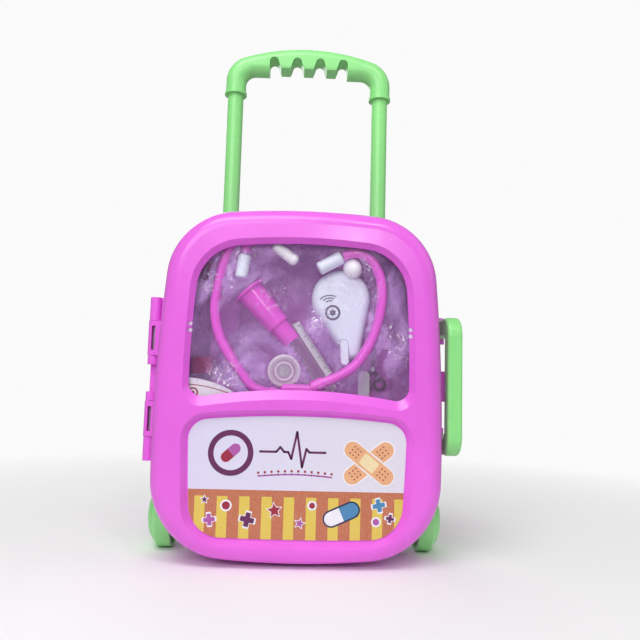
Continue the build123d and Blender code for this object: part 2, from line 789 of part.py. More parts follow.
slider_top = bush_foot - stop_gap
slider_foot = slider_top - slider_length
posts, sliders, bushes = {}, {}, {}
for name, side in (("right", 1), ("left", -1)):
    with BuildPart() as post:
        with BuildSketch(Plane.XY.offset(slider_foot + slider_socket)):
            with Locations((side * post_x, post_y)):
                Circle(post_radius)
                Circle(post_radius - post_wall, mode=Mode.SUBTRACT)
        extrude(amount=collar_bottom + socket_depth - seam - slider_foot - slider_socket)
    post.part.label = "pull_post_" + name
    posts[name] = post.part
    with BuildPart() as slider:
        with BuildSketch(Plane.XY.offset(slider_foot)):
            with Locations((side * post_x, post_y)):
                Circle(slider_radius)
        extrude(amount=slider_length)
        chamfer(slider.edges(), slider_chamfer)
        with BuildSketch(Plane.XY.offset(slider_foot + slider_socket - seam)):
            with Locations((side * post_x, post_y)):
                Circle(post_radius + seam)
        extrude(amount=slider_length, mode=Mode.SUBTRACT)
    slider.part.label = "post_slider_" + name
    sliders[name] = slider.part
    with BuildPart() as bush:
        with BuildSketch(Plane.XY.offset(bush_foot)):
            with Locations((side * post_x, post_y)):
                Circle(bush_sleeve_radius)
        extrude(amount=bush_length)
        with BuildSketch(Plane.XY.offset(bush_seat)):
            with Locations((side * post_x, post_y)):
                Circle(bush_flange_radius)
        extrude(amount=bush_flange)
        chamfer(bush.edges().group_by(Axis.Z)[-1], bush_flange / 3)
        with BuildSketch(Plane.XY.offset(bush_foot)):
            with Locations((side * post_x, post_y)):
                Circle(post_radius + post_clearance)
        extrude(amount=bush_length + bush_flange, mode=Mode.SUBTRACT)
    bush.part.label = "guide_bush_" + name
    bushes[name] = bush.part

# ================================================================ carry handle
handle_front_y = front_y + handle_front_setback
handle_middle = (handle_bottom + handle_top) / 2
with BuildPart() as carry_handle:
    with BuildSketch(facing_right(handle_inner_x)) as handle_outline:
        with Locations((handle_front_y, handle_middle)):
            Rectangle(pivot_y - handle_front_y, handle_top - handle_bottom,
                      align=(Align.MIN, Align.CENTER))
        front_corners = handle_outline.vertices().group_by(Axis.X)[0]
        fillet(front_corners, handle_bend)
        with BuildSketch(mode=Mode.PRIVATE) as gap:
            with Locations((handle_front_y + handle_width, handle_middle)):
                Rectangle(pivot_y - handle_front_y, handle_top - handle_bottom - 2 * handle_width,
                          align=(Align.MIN, Align.CENTER))
            fillet(gap.vertices().group_by(Axis.X)[0], handle_bend - handle_width + handle_edge)
        add(gap.sketch, mode=Mode.SUBTRACT)
    extrude(amount=handle_thickness)
    rims = carry_handle.edges().filter_by(
        lambda e: min(abs(e.center().X - handle_inner_x),
                      abs(e.center().X - handle_inner_x - handle_thickness)) < seam
        and e.center().Y < pivot_y - seam)
    fillet(rims, handle_edge)
    for low in leg_heights():
        with BuildSketch(Plane.XY.offset(low)):
            with Locations((handle_pivot_x, pivot_y)):
                Circle(handle_thickness / 2)
        extrude(amount=handle_width)
        with BuildSketch(Plane.XY.offset(low)):
            with Locations((handle_pivot_x, pivot_y)):
                Circle(handle_pin_radius + handle_pin_clearance)
        extrude(amount=handle_width, mode=Mode.SUBTRACT)
carry_handle.part.label = "carry_handle"

with BuildPart() as carry_handle_pins:
    for low in leg_heights():
        with BuildSketch(Plane.XY.offset(low - lug_gap - lug_thickness)):
            with Locations((handle_pivot_x, pivot_y)):
                Circle(handle_pin_radius)
        extrude(amount=handle_width + 2 * (lug_gap + lug_thickness))
carry_handle_pins.part.label = "carry_handle_pins"

# ================================================================ wheels
rim_x = wheel_inner_x + tread_width
shoulder_x = rim_x + wheel_shoulder
hub_x = rim_x + hub_reach
axle_line = Axis((0, axle_y, axle_z), (1, 0, 0))
axle_plane = Plane(origin=(0, axle_y, axle_z), x_dir=(1, 0, 0), z_dir=(0, -1, 0))
wheels, caps, axles = {}, {}, {}
for name, side in (("right", 1), ("left", -1)):
    with BuildPart() as wheel:
        with BuildSketch(axle_plane):
            with BuildLine():
                Polyline(
                    (side * wheel_inner_x, 0), (side * wheel_inner_x, wheel_radius),
                    (side * rim_x, wheel_radius), (side * shoulder_x, shoulder_radius),
                    (side * shoulder_x, 0), close=True)
            make_face()
        revolve(axis=axle_line)
        with BuildSketch(facing_right(side * wheel_inner_x)):
            with Locations((axle_y, axle_z)):
                Circle(wheel_radius - rim_wall)
                Circle(hub_radius, mode=Mode.SUBTRACT)
        extrude(amount=side * (tread_width - web_thickness), mode=Mode.SUBTRACT)
        with BuildSketch(facing_right(side * rim_x)):
            with Locations((axle_y, axle_z)):
                Circle(shoulder_radius - rim_wall)
        extrude(amount=side * wheel_shoulder, mode=Mode.SUBTRACT)
        with BuildSketch(facing_right(side * rim_x)):
            with Locations((axle_y, axle_z)):
                Circle(hub_radius)
        extrude(amount=side * hub_reach)
        with BuildSketch(facing_right(side * (wheel_inner_x + spoke_setback))):
            with Locations((axle_y, axle_z)):
                with PolarLocations(hub_radius - seam, spokes):
                    Rectangle(wheel_radius - rim_wall - hub_radius + 2 * seam, spoke_width,
                              align=(Align.MIN, Align.CENTER))
        extrude(amount=side * (tread_width - web_thickness - spoke_setback))
        with BuildSketch(facing_right(side * wheel_inner_x)):
            with Locations((axle_y, axle_z)):
                Circle(axle_radius + axle_clearance)
        extrude(amount=side * (tread_width + hub_reach), mode=Mode.SUBTRACT)
    wheel.part.label = "wheel_" + name
    wheels[name] = wheel.part
    cap_x = shoulder_x + cap_seam
    dome_x = cap_x + dome_reach
    bulge = (side * (cap_x + dome_bulge * dome_reach), (shoulder_radius + dome_flat_radius) / 2)
    hollow = (bulge[0] - side * cap_wall, bulge[1] - cap_wall / 2)
    with BuildPart() as hub_cap:
        with BuildSketch(axle_plane):
            with BuildLine():
                ThreePointArc((side * cap_x, shoulder_radius), bulge,
                              (side * dome_x, dome_flat_radius))
                Polyline((side * dome_x, dome_flat_radius), (side * dome_x, 0),
                         (side * (dome_x - cap_wall), 0),
                         (side * (dome_x - cap_wall), dome_flat_radius - cap_wall / 2))
                ThreePointArc((side * (dome_x - cap_wall), dome_flat_radius - cap_wall / 2),
                              hollow, (side * cap_x, shoulder_radius - cap_wall))
                Line((side * cap_x, shoulder_radius - cap_wall),
                     (side * cap_x, shoulder_radius))
            make_face()
        revolve(axis=axle_line)
    hub_cap.part.label = "hub_cap_" + name
    caps[name] = hub_cap.part
    with BuildPart() as axle:
        with BuildSketch(facing_right(side * (wheel_inner_x - wheel_side_gap - axle_depth + seam))):
            with Locations((axle_y, axle_z)):
                Circle(axle_radius)
        extrude(amount=side * (axle_depth + wheel_side_gap + tread_width + hub_reach
                               + axle_head_gap))
        with BuildSketch(facing_right(side * (hub_x + axle_head_gap))):
            with Locations((axle_y, axle_z)):
                Circle(axle_head_radius)
        extrude(amount=side * axle_head)
    axle.part.label = "axle_pin_" + name
    axles[name] = axle.part


# ================================================================ clear bag
bag_outline = crowned_outline(
    bag_half - bag_taper, bag_half, bag_half, bag_bottom, floor_gap + waist_rise, bag_top,
    bag_sag, bag_crown, bag_foot_radius, bag_head_radius)


def pillow(inset):
    """The bag's rounded body, shrunk by an even amount on every side."""
    with BuildPart() as body:
        with BuildSketch(facing_front(bag_back_y - inset)):
            add(grown(bag_outline, -inset) if inset else bag_outline)
        extrude(amount=bag_back_y - bag_front_y - 2 * inset)
        rims = body.edges().group_by(Axis.Y)
        fillet(rims[0] + rims[-1], bag_edge - inset)
    return body.part


with BuildPart() as clear_bag:
    add(pillow(0))
    add(pillow(bag_film), mode=Mode.SUBTRACT)
clear_bag.part.label = "clear_bag"


def hung(x, drop):
    """A place in the bag, by its distance to the right of the middle and below the bag's top."""
    return (x, bag_top - drop)


def beside(reach, drop):
    """The same, by its distance from the bag's left side."""
    return (reach - bag_half, bag_top - drop)


def rod(points, radius):
    """A round rod along a route whose corners bend as widely as its runs allow."""
    with BuildPart() as bent:
        with BuildLine() as route:
            FilletPolyline(*points, radius=smooth_radii(points))
        with BuildSketch(Plane(origin=route.line @ 0, z_dir=route.line % 0)):
            Circle(radius)
        sweep(path=route.line)
    return bent.part


def along(start, end, y):
    """A sketch plane at the start of a line in X and Z; its normal runs towards the end."""
    return Plane(origin=(start[0], y, start[1]), x_dir=(0, 1, 0),
                 z_dir=(end[0] - start[0], 0, end[1] - start[1]))


def length_between(start, end):
    return hypot(end[0] - start[0], end[1] - start[1])


def tilt_of(start, end):
    """The angle in degrees of a line in X and Z above the horizontal."""
    return degrees(atan2(end[1] - start[1], end[0] - start[0]))


toys = []                  # every instrument in the bag

# ---------------------------------------------------------------- toy stethoscope
tube_radius = 4.0
tip_radius = 5.4
tube_y = film_front_y + tip_radius
tube_routes = {            # each point is across from the middle and down from the bag's top
    "right": [(31.2, 23.3), (38.6, 20.1), (47.0, 21.1), (55.4, 26.3), (61.9, 38.9),
              (63.5, 55.4), (60.7, 74.5), (54.1, 93.6), (43.1, 110.1), (30.9, 118.0),
              (12.4, 126.6)],
    "left": [(-46.0, 23.5), (-44.6, 15.0), (-50.5, 10.0), (-57.8, 17.5), (-62.9, 33.5),
             (-66.5, 50.8), (-68.4, 65.9), (-66.5, 80.9), (-61.5, 94.5), (-52.4, 107.9),
             (-43.3, 120.0), (-36.1, 129.4), (-16.8, 134.4)],
}
tube_routes = {name: [hung(*point) for point in route] for name, route in tube_routes.items()}
tip_places = {"right": (12.7, 34.0), "left": (-48.5, 43.0)}
tip_ends = {name: hung(*place) for name, place in tip_places.items()}
tip_round = 2.2
tip_gap = 0.7              # between an ear tip and the slanted end of its tube
yoke_middle_place = (-1.8, 133.0)
yoke_middle = hung(*yoke_middle_place)
yoke_width = 26.0
yoke_height = 15.6
yoke_depth = 9.4
yoke_round = 4.2
sleeve_wall = 1.2
sleeve_length = 7.0
sleeve_sink = 3.0
stem_radius = 4.4
stem_length = 15.0

for name, route in tube_routes.items():
    tube = rod([(x, tube_y, z) for x, z in route], tube_radius)
    tube.label = "stethoscope_tube_" + name
    toys.append(tube)
    with BuildPart() as ear_tip:
        with BuildSketch(along(route[0], tip_ends[name], tube_y).offset(tip_gap)):
            Circle(tip_radius)
        extrude(amount=length_between(route[0], tip_ends[name]))
        fillet(ear_tip.edges(), tip_round)
    ear_tip.part.label = "stethoscope_ear_tip_" + name
    toys.append(ear_tip.part)

with BuildPart() as yoke:
    with BuildSketch(facing_front(tube_y + yoke_depth / 2)):
        with Locations(yoke_middle):
            RectangleRounded(yoke_width, yoke_height, yoke_round)
    extrude(amount=yoke_depth)
    fillet(yoke.edges().group_by(Axis.Y)[0] + yoke.edges().group_by(Axis.Y)[-1],
           yoke_round - 1)
    for route in tube_routes.values():
        with BuildSketch(along(route[-1], route[-2], tube_y).offset(-sleeve_sink)):
            Circle(tube_radius + sleeve_wall)
        extrude(amount=sleeve_length + sleeve_sink)
    with BuildSketch(Plane.XY.offset(yoke_middle[1] - yoke_height / 2 - stem_length)):
        with Locations((yoke_middle[0], tube_y)):
            Circle(stem_radius)
    extrude(amount=stem_length + yoke_round)
    for route in tube_routes.values():
        with BuildSketch(along(route[-1], route[-2], tube_y).offset(-seam)):
            Circle(tube_radius + seam)
        extrude(amount=sleeve_length + sleeve_sink, mode=Mode.SUBTRACT)
yoke.part.label = "stethoscope_yoke"
toys.append(yoke.part)

# ---------------------------------------------------------------- toy ear thermometer
head_middle_place = (31.2, 56.4)
head_middle = hung(*head_middle_place)
head_disc_radius = 23.5
neck_end_place = (41.0, 98.5)
neck_end = hung(*neck_end_place)
neck_radius = 6.5
body_front_y = tube_y + tube_radius + rest_gap
body_depth = 24.0
body_edge = 6.0
probe_middle_place = (39.5, 32.6)
probe_middle = hung(*probe_middle_place)
probe_radius = 7.5
trigger_top_place = (34.0, 92.0)
trigger_top = hung(*trigger_top_place)
trigger_bottom_place = (34.9, 106.2)
trigger_bottom = hung(*trigger_bottom_place)
trigger_width = 6.0
trigger_depth = 5.8
trigger_proud = 2.1        # the trigger stands out of the neck's face
trigger_clearance = 0.4
trigger_pocket = 3.3       # free depth behind the trigger
trigger_axis_depth = 4.6   # hinge axis behind the trigger's face
trigger_pin_radius = 0.7
trigger_pin_length = 9.4
trigger_y = body_front_y - trigger_proud
trigger_axis_y = trigger_y + trigger_axis_depth
trigger_length = length_between(trigger_top, trigger_bottom) + trigger_width
trigger_middle = ((trigger_top[0] + trigger_bottom[0]) / 2,
                  (trigger_top[1] + trigger_bottom[1]) / 2)
trigger_tilt = tilt_of(trigger_bottom, trigger_top)
pin_plane = Plane(
    origin=(trigger_top[0], trigger_axis_y, trigger_top[1]), x_dir=(0, 1, 0),
    z_dir=(trigger_top[1] - trigger_bottom[1], 0, trigger_bottom[0] - trigger_top[0]))

with BuildPart() as thermometer_body:
    with BuildSketch(facing_front(body_front_y + body_depth)):
        with BuildLine():
            CenterArc(head_middle, head_disc_radius, 0, 360)
            CenterArc(neck_end, neck_radius, 0, 360)
        make_hull()
    extrude(amount=body_depth)
    fillet(thermometer_body.edges().group_by(Axis.Y)[0]
           + thermometer_body.edges().group_by(Axis.Y)[-1], body_edge)
    with Locations((probe_middle[0], film_front_y + probe_radius, probe_middle[1])):
        Sphere(probe_radius + seam, mode=Mode.SUBTRACT)
    with BuildSketch(facing_front(trigger_y)):
        with Locations(Location(trigger_middle, trigger_tilt)):
            SlotOverall(trigger_length + 2 * trigger_clearance,
                        trigger_width + 2 * trigger_clearance)
    extrude(amount=-trigger_depth - trigger_pocket, mode=Mode.SUBTRACT)
    with BuildSketch(pin_plane.offset(-trigger_pin_length / 2)):
        Circle(trigger_pin_radius + seam)
    extrude(amount=trigger_pin_length, mode=Mode.SUBTRACT)
thermometer_body.part.label = "thermometer_body"
toys.append(thermometer_body.part)

with BuildPart() as thermometer_probe:
    with Locations((probe_middle[0], film_front_y + probe_radius, probe_middle[1])):
        Sphere(probe_radius)
thermometer_probe.part.label = "thermometer_probe"
toys.append(thermometer_probe.part)

with BuildPart() as thermometer_trigger:
    with BuildSketch(facing_front(trigger_y + trigger_depth)):
        with Locations(Location(trigger_middle, trigger_tilt)):
            SlotOverall(trigger_length, trigger_width)
    extrude(amount=trigger_depth)
    with BuildSketch(pin_plane.offset(-trigger_width)):
        Circle(trigger_pin_radius + hinge_clearance)
    extrude(amount=2 * trigger_width, mode=Mode.SUBTRACT)
thermometer_trigger.part.label = "thermometer_trigger"
toys.append(thermometer_trigger.part)

with BuildPart() as trigger_pin:
    with BuildSketch(pin_plane.offset(-trigger_pin_length / 2)):
        Circle(trigger_pin_radius)
    extrude(amount=trigger_pin_length - seam)
trigger_pin.part.label = "thermometer_trigger_pin"
toys.append(trigger_pin.part)

# ---------------------------------------------------------------- toy ear scope: a flanged horn
horn_mouth_place = (-42.6, 51.3)
horn_mouth = hung(*horn_mouth_place)
horn_end_place = (-7.0, 91.9)
horn_end = hung(*horn_end_place)
flange_radius = 14.0
flange_thickness = 1.8
barrel_start_radius = 11.3
barrel_end_radius = 9.6
barrel_length = 37.0
neck_start_radius = 8.2
neck_end_radius = 7.4
horn_bore_radius = 8.6
horn_bore_depth = 34.0
horn_y = film_front_y + flange_radius
horn_length = length_between(horn_mouth, horn_end)
horn_plane = Plane(origin=(horn_mouth[0], horn_y, horn_mouth[1]),
                   x_dir=(horn_end[0] - horn_mouth[0], 0, horn_end[1] - horn_mouth[1]),
                   z_dir=(0, -1, 0))
with BuildPart() as ear_scope:
    with BuildSketch(horn_plane):
        with BuildLine():
            Polyline(
                (horn_bore_depth, 0), (horn_bore_depth, horn_bore_radius - 1),
                (0, horn_bore_radius), (0, flange_radius), (flange_thickness, flange_radius),
                (flange_thickness, barrel_start_radius), (barrel_length, barrel_end_radius),
                (barrel_length, neck_start_radius), (horn_length, neck_end_radius),
                (horn_length, 0), close=True)
        make_face()
    revolve(axis=Axis(horn_plane.origin, horn_plane.x_dir))
ear_scope.part.label = "ear_scope"
toys.append(ear_scope.part)

# ---------------------------------------------------------------- clear tube and its scale strip
clear_tube_start_place = (-10.9, 77.8)
clear_tube_start = hung(*clear_tube_start_place)
clear_tube_end_place = (25.7, 131.0)
clear_tube_end = hung(*clear_tube_end_place)
clear_tube_radius = 7.0
clear_tube_wall = 1.1
scale_setback = 1.2        # from the tube's end to the strip's
scale_length = 50.8
scale_width = 5.7
scale_thickness = 1.6
scale_edge = 4.1           # from the tube's axis to the strip's near edge, seen from the front
clear_tube_y = film_back_y - clear_tube_radius
scale_y = clear_tube_y - sqrt((clear_tube_radius + rest_gap)**2 - scale_edge**2)
with BuildPart() as clear_tube:
    with BuildSketch(along(clear_tube_start, clear_tube_end, clear_tube_y)):
        Circle(clear_tube_radius)
        Circle(clear_tube_radius - clear_tube_wall, mode=Mode.SUBTRACT)
    extrude(amount=length_between(clear_tube_start, clear_tube_end))
clear_tube.part.label = "clear_tube"
toys.append(clear_tube.part)

with BuildPart() as scale_strip:
    with BuildSketch(facing_front(scale_y)):
        with Locations(Location(clear_tube_start, tilt_of(clear_tube_start, clear_tube_end))):
            with Locations((scale_setback + scale_length / 2, scale_edge + scale_width / 2)):
                RectangleRounded(scale_length, scale_width, scale_thickness / 2)
    extrude(amount=scale_thickness)
scale_strip.part.label = "scale_strip"
toys.append(scale_strip.part)

# ---------------------------------------------------------------- round lens with a metal core
lens_middle_place = (-12.5, 115.2)
lens_middle = hung(*lens_middle_place)
lens_radius = 13.2
lens_depth = 6.0
lens_edge = 2.4
core_radius = 4.4
lens_back_y = tube_y + yoke_depth / 2 + rest_gap + lens_depth
with BuildPart() as round_lens:
    with BuildSketch(facing_front(lens_back_y)):
        with Locations(lens_middle):
            Circle(lens_radius)
    extrude(amount=lens_depth)
    fillet(round_lens.edges().group_by(Axis.Y)[0], lens_edge)
    with BuildSketch(facing_front(lens_back_y)):
        with Locations(lens_middle):
            Circle(core_radius + seam)
    extrude(amount=lens_depth / 2, mode=Mode.SUBTRACT)
round_lens.part.label = "round_lens"
toys.append(round_lens.part)

with BuildPart() as lens_core:
    with BuildSketch(facing_front(lens_back_y)):
        with Locations(lens_middle):
            Circle(core_radius)
    extrude(amount=lens_depth / 2 - seam)
lens_core.part.label = "lens_core"
toys.append(lens_core.part)

# ---------------------------------------------------------------- toy scissors
scissor_pivot_place = (61.4, 111.0)
scissor_pivot = hung(*scissor_pivot_place)
scissor_tip_place = (63.0, 94.0)
scissor_tip = hung(*scissor_tip_place)
loop_places = {"a": (55.9, 124.8), "b": (67.6, 123.4)}
scissor_loops = {name: hung(*place) for name, place in loop_places.items()}
loop_radius = 5.6
loop_hole = 3.4
blade_width = 3.6
blade_point = 0.7
scissor_thickness = 1.9
rivet_head_radius = 1.9
rivet_shank_radius = 1.1
rivet_head_depth = 0.3
scissor_backs = {"b": film_back_y - rivet_head_depth,
                 "a": film_back_y - rivet_head_depth - scissor_thickness - rest_gap}
for name, loop in scissor_loops.items():
    lean = 1 if name == "a" else -1
    with BuildPart() as half:
        with BuildSketch(facing_front(scissor_backs[name])):
            with BuildLine():
                Polyline(
                    (scissor_tip[0], scissor_tip[1]),
                    (scissor_tip[0] + lean * blade_point, scissor_tip[1]),
                    (scissor_pivot[0] + lean * blade_width / 2, scissor_pivot[1]),
                    (loop[0] + lean * blade_width / 2, loop[1] + loop_radius - blade_point),
                    (loop[0] - lean * blade_width / 2, loop[1] + loop_radius - blade_point),
                    (scissor_pivot[0] - lean * blade_width / 2, scissor_pivot[1]), close=True)
            make_face()
            with Locations(scissor_pivot):
                Circle(blade_width * 0.7)
            with Locations(loop):
                Circle(loop_radius)
                Circle(loop_hole, mode=Mode.SUBTRACT)
            with Locations(scissor_pivot):
                Circle(rivet_shank_radius + (seam if name == "a" else hinge_clearance),
                       mode=Mode.SUBTRACT)
        extrude(amount=scissor_thickness)
    half.part.label = "scissors_half_" + name
    toys.append(half.part)

with BuildPart() as scissors_rivet:
    front_of_a = scissor_backs["a"] - scissor_thickness
    with BuildSketch(facing_front(film_back_y - rivet_head_depth)):
        with Locations(scissor_pivot):
            Circle(rivet_shank_radius)
    extrude(amount=film_back_y - rivet_head_depth - front_of_a)
    with BuildSketch(facing_front(front_of_a - seam)):
        with Locations(scissor_pivot):
            Circle(rivet_head_radius)
    extrude(amount=rivet_head_depth)
    with BuildSketch(facing_front(front_of_a)):
        with Locations(scissor_pivot):
            Circle(rivet_shank_radius)
    extrude(amount=rivet_head_depth)
scissors_rivet.part.label = "scissors_rivet"
toys.append(scissors_rivet.part)

# ---------------------------------------------------------------- small toys
capsule_places = ((-21.9, 17.4), (-6.5, 28.2))
capsule_ends = [hung(*place) for place in capsule_places]
capsule_radius = 4.7
with BuildPart() as capsule:
    capsule_y = film_front_y + capsule_radius
    with BuildSketch(along(*capsule_ends, capsule_y).offset(-capsule_radius / 2)):
        Circle(capsule_radius)
    extrude(amount=length_between(*capsule_ends) + capsule_radius)
    fillet(capsule.edges(), capsule_radius * 0.8)
capsule.part.label = "white_capsule"
toys.append(capsule.part)

card_corners = ((6.0, 164.0), (6.0, 122.0), (28.0, 125.5), (50.0, 136.0), (50.0, 164.0))
card_corners = [beside(*corner) for corner in card_corners]
card_thickness = 0.8
with BuildPart() as paper_card:
    with BuildSketch(facing_front(film_front_y + card_thickness)):
        with BuildLine():
            Line(card_corners[0], card_corners[1])
            ThreePointArc(card_corners[1], card_corners[2], card_corners[3])
            Polyline(card_corners[3], card_corners[4], card_corners[0])
        make_face()
    extrude(amount=card_thickness)
paper_card.part.label = "paper_card"
toys.append(paper_card.part)

spatula_top_place = (53.8, 113.0)
spatula_top = hung(*spatula_top_place)
spatula_length = 27.0
spatula_width = 9.6
spatula_thickness = 1.6
with BuildPart() as spatula:
    spatula_y = scissor_backs["a"] - scissor_thickness - rivet_head_depth - rest_gap
    with BuildSketch(facing_front(spatula_y)):
        with Locations((spatula_top[0], spatula_top[1] - spatula_length / 2)):
            RectangleRounded(spatula_width, spatula_length, spatula_width / 2.2)
    extrude(amount=spatula_thickness)
spatula.part.label = "spatula"
toys.append(spatula.part)

pill_box_middle_place = (13.7, 112.0)
pill_box_middle = beside(*pill_box_middle_place)
pill_box_size = (15.4, 14.0)
pill_box_depth = 14.0
pill_box_edge = 1.5
with BuildPart() as pill_box:
    with BuildSketch(facing_front(film_back_y)):
        with Locations(pill_box_middle):
            RectangleRounded(*pill_box_size, pill_box_edge)
    extrude(amount=pill_box_depth)
    fillet(pill_box.edges().group_by(Axis.Y)[0], pill_box_edge / 2)
pill_box.part.label = "pill_box"
toys.append(pill_box.part)

clip_middle_place = (13.6, 39.6)
clip_middle = beside(*clip_middle_place)
clip_size = 13.5
clip_depth = 8.0
clip_bars = 3
clip_bar_gap = 1.6
with BuildPart() as silver_clip:
    with BuildSketch(facing_front(film_back_y)):
        with Locations(clip_middle):
            RectangleRounded(clip_size, clip_size, clip_bar_gap)
            with GridLocations(clip_size / (clip_bars + 1), 0, clip_bars, 1):
                Rectangle(clip_bar_gap, clip_size * 0.6, mode=Mode.SUBTRACT)
    extrude(amount=clip_depth)
silver_clip.part.label = "silver_clip"
toys.append(silver_clip.part)

button_middle_place = (15.2, 27.2)
button_middle = beside(*button_middle_place)
button_radius = 4.6
button_depth = 5.0
with BuildPart() as maroon_button:
    with BuildSketch(facing_front(film_back_y)):
        with Locations(button_middle):
            Circle(button_radius)
    extrude(amount=button_depth)
    fillet(maroon_button.edges().group_by(Axis.Y)[0], button_depth / 4)
maroon_button.part.label = "maroon_button"
toys.append(maroon_button.part)

# ================================================================ files
pieces = [lid.part, lid_window.part, label_panel.part, tray.part, latch.part, latch_pin.part,
          back_cover.part, back_cover_screws.part, pull_grip.part, carry_handle.part,
          carry_handle_pins.part, clear_bag.part]
for group in (hinge_pins, posts, sliders, bushes, wheels, caps, axles):
    pieces.extend(group.values())
pieces.extend(toys)
for piece in pieces:
    export_step(piece, f"parts/{piece.label}.step")
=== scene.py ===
"""Looks of the toy doctor case: camera, light, materials, the printed label and the clear bag."""

import json
import math

import bmesh
import bpy
from mathutils import Matrix, Vector, noise
from mathutils.bvhtree import BVHTree


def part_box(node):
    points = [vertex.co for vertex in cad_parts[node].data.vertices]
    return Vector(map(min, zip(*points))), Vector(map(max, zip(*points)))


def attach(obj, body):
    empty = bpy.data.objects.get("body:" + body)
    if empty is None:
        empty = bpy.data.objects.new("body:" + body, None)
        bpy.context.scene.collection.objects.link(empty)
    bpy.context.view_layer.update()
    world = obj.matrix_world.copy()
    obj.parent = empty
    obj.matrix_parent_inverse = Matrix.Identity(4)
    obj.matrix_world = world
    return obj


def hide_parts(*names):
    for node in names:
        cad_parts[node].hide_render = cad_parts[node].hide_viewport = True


MM = 0.001
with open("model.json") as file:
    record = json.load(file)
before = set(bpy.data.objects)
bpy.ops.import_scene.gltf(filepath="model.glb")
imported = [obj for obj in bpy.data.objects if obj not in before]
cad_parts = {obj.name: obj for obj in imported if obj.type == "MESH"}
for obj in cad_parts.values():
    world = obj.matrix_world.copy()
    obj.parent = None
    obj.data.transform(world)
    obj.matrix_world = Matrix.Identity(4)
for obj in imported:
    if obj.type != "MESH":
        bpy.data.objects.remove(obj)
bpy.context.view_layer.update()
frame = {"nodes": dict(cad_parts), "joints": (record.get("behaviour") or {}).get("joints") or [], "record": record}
nodes = frame["nodes"]
scene = bpy.context.scene

# ---------------------------------------------------------------- camera
EYE = Vector((-2.18, -519.16, 138.29)) * MM
AIM = Vector((14.03, -47.7, 185.95)) * MM
ROLL = math.radians(1.55)
SENSOR_WIDTH, FOCAL_LENGTH = 36.0, 35.02       # mm
NEAREST_SEEN = 10 * MM
forward = (AIM - EYE).normalized()
level_right = forward.cross(Vector((0, 0, 1))).normalized()
level_up = level_right.cross(forward)
right = math.cos(ROLL) * level_right + math.sin(ROLL) * level_up
up = -math.sin(ROLL) * level_right + math.cos(ROLL) * level_up
camera = bpy.data.objects.new("camera", bpy.data.cameras.new("camera"))
camera.data.sensor_width = SENSOR_WIDTH
camera.data.lens = FOCAL_LENGTH
camera.data.clip_start = NEAREST_SEEN
camera.matrix_world = Matrix((
    (right.x, up.x, -forward.x, EYE.x),
    (right.y, up.y, -forward.y, EYE.y),
    (right.z, up.z, -forward.z, EYE.z),
    (0, 0, 0, 1)))
scene.collection.objects.link(camera)
scene.camera = camera


# ---------------------------------------------------------------- light
LAMPS = (      # name, place, where it points, width and height, power
    ("key", (-0.30, -0.74, 1.35), (0, 0, 0.20), (0.8, 0.6), 9.2),
    ("front", (-0.42, -1.22, 0.80), (0, 0, 0.24), (0.9, 0.5), 5.6),
    ("spark", (0.22, -0.62, 0.92), (0.03, 0, 0.24), (0.16, 0.08), 1.05),
    ("flash", (0.10, -0.72, 0.40), (0.02, 0, 0.2), (0.09, 0.06), 0.42),
    ("side", (1.05, -0.25, 0.75), (0, 0, 0.2), (0.5, 0.9), 0.9),
    ("back", (-0.3, 1.1, 0.9), (0, 0, 0.2), (0.9, 0.6), 3.0),
)
SKY, BACKDROP = 0.30, 0.96     # the light that the room gives, and how bright it looks


def panel(name, place, aim, size, power):
    """A soft light, evenly bright over its rectangle."""
    lamp = bpy.data.lights.new(name, "AREA")
    lamp.shape = "RECTANGLE"
    lamp.size, lamp.size_y = size
    lamp.energy = power
    obj = bpy.data.objects.new(name, lamp)
    obj.location = Vector(place)
    obj.rotation_euler = (Vector(aim) - Vector(place)).to_track_quat("-Z", "Y").to_euler()
    scene.collection.objects.link(obj)


for row in LAMPS:
    panel(*row)

world = bpy.data.worlds.new("studio")
world.use_nodes = True
room = world.node_tree
sight = room.nodes.new("ShaderNodeLightPath")
glow = room.nodes.new("ShaderNodeMapRange")
glow.inputs["To Min"].default_value = SKY
glow.inputs["To Max"].default_value = BACKDROP
room.links.new(sight.outputs["Is Camera Ray"], glow.inputs["Value"])
room.links.new(glow.outputs["Result"], room.nodes["Background"].inputs["Strength"])
room.nodes["Background"].inputs["Color"].default_value = (1, 1, 1, 1)
scene.world = world
scene.view_settings.view_transform = "Standard"
scene.cycles.transparent_max_bounces = 32    # window, film and clear toys lie behind one another


# ---------------------------------------------------------------- materials
PLASTIC_IOR, FILM_IOR = 1.49, 1.5


def toned(color, factor):
    return tuple(min(1.0, c * factor) for c in color)


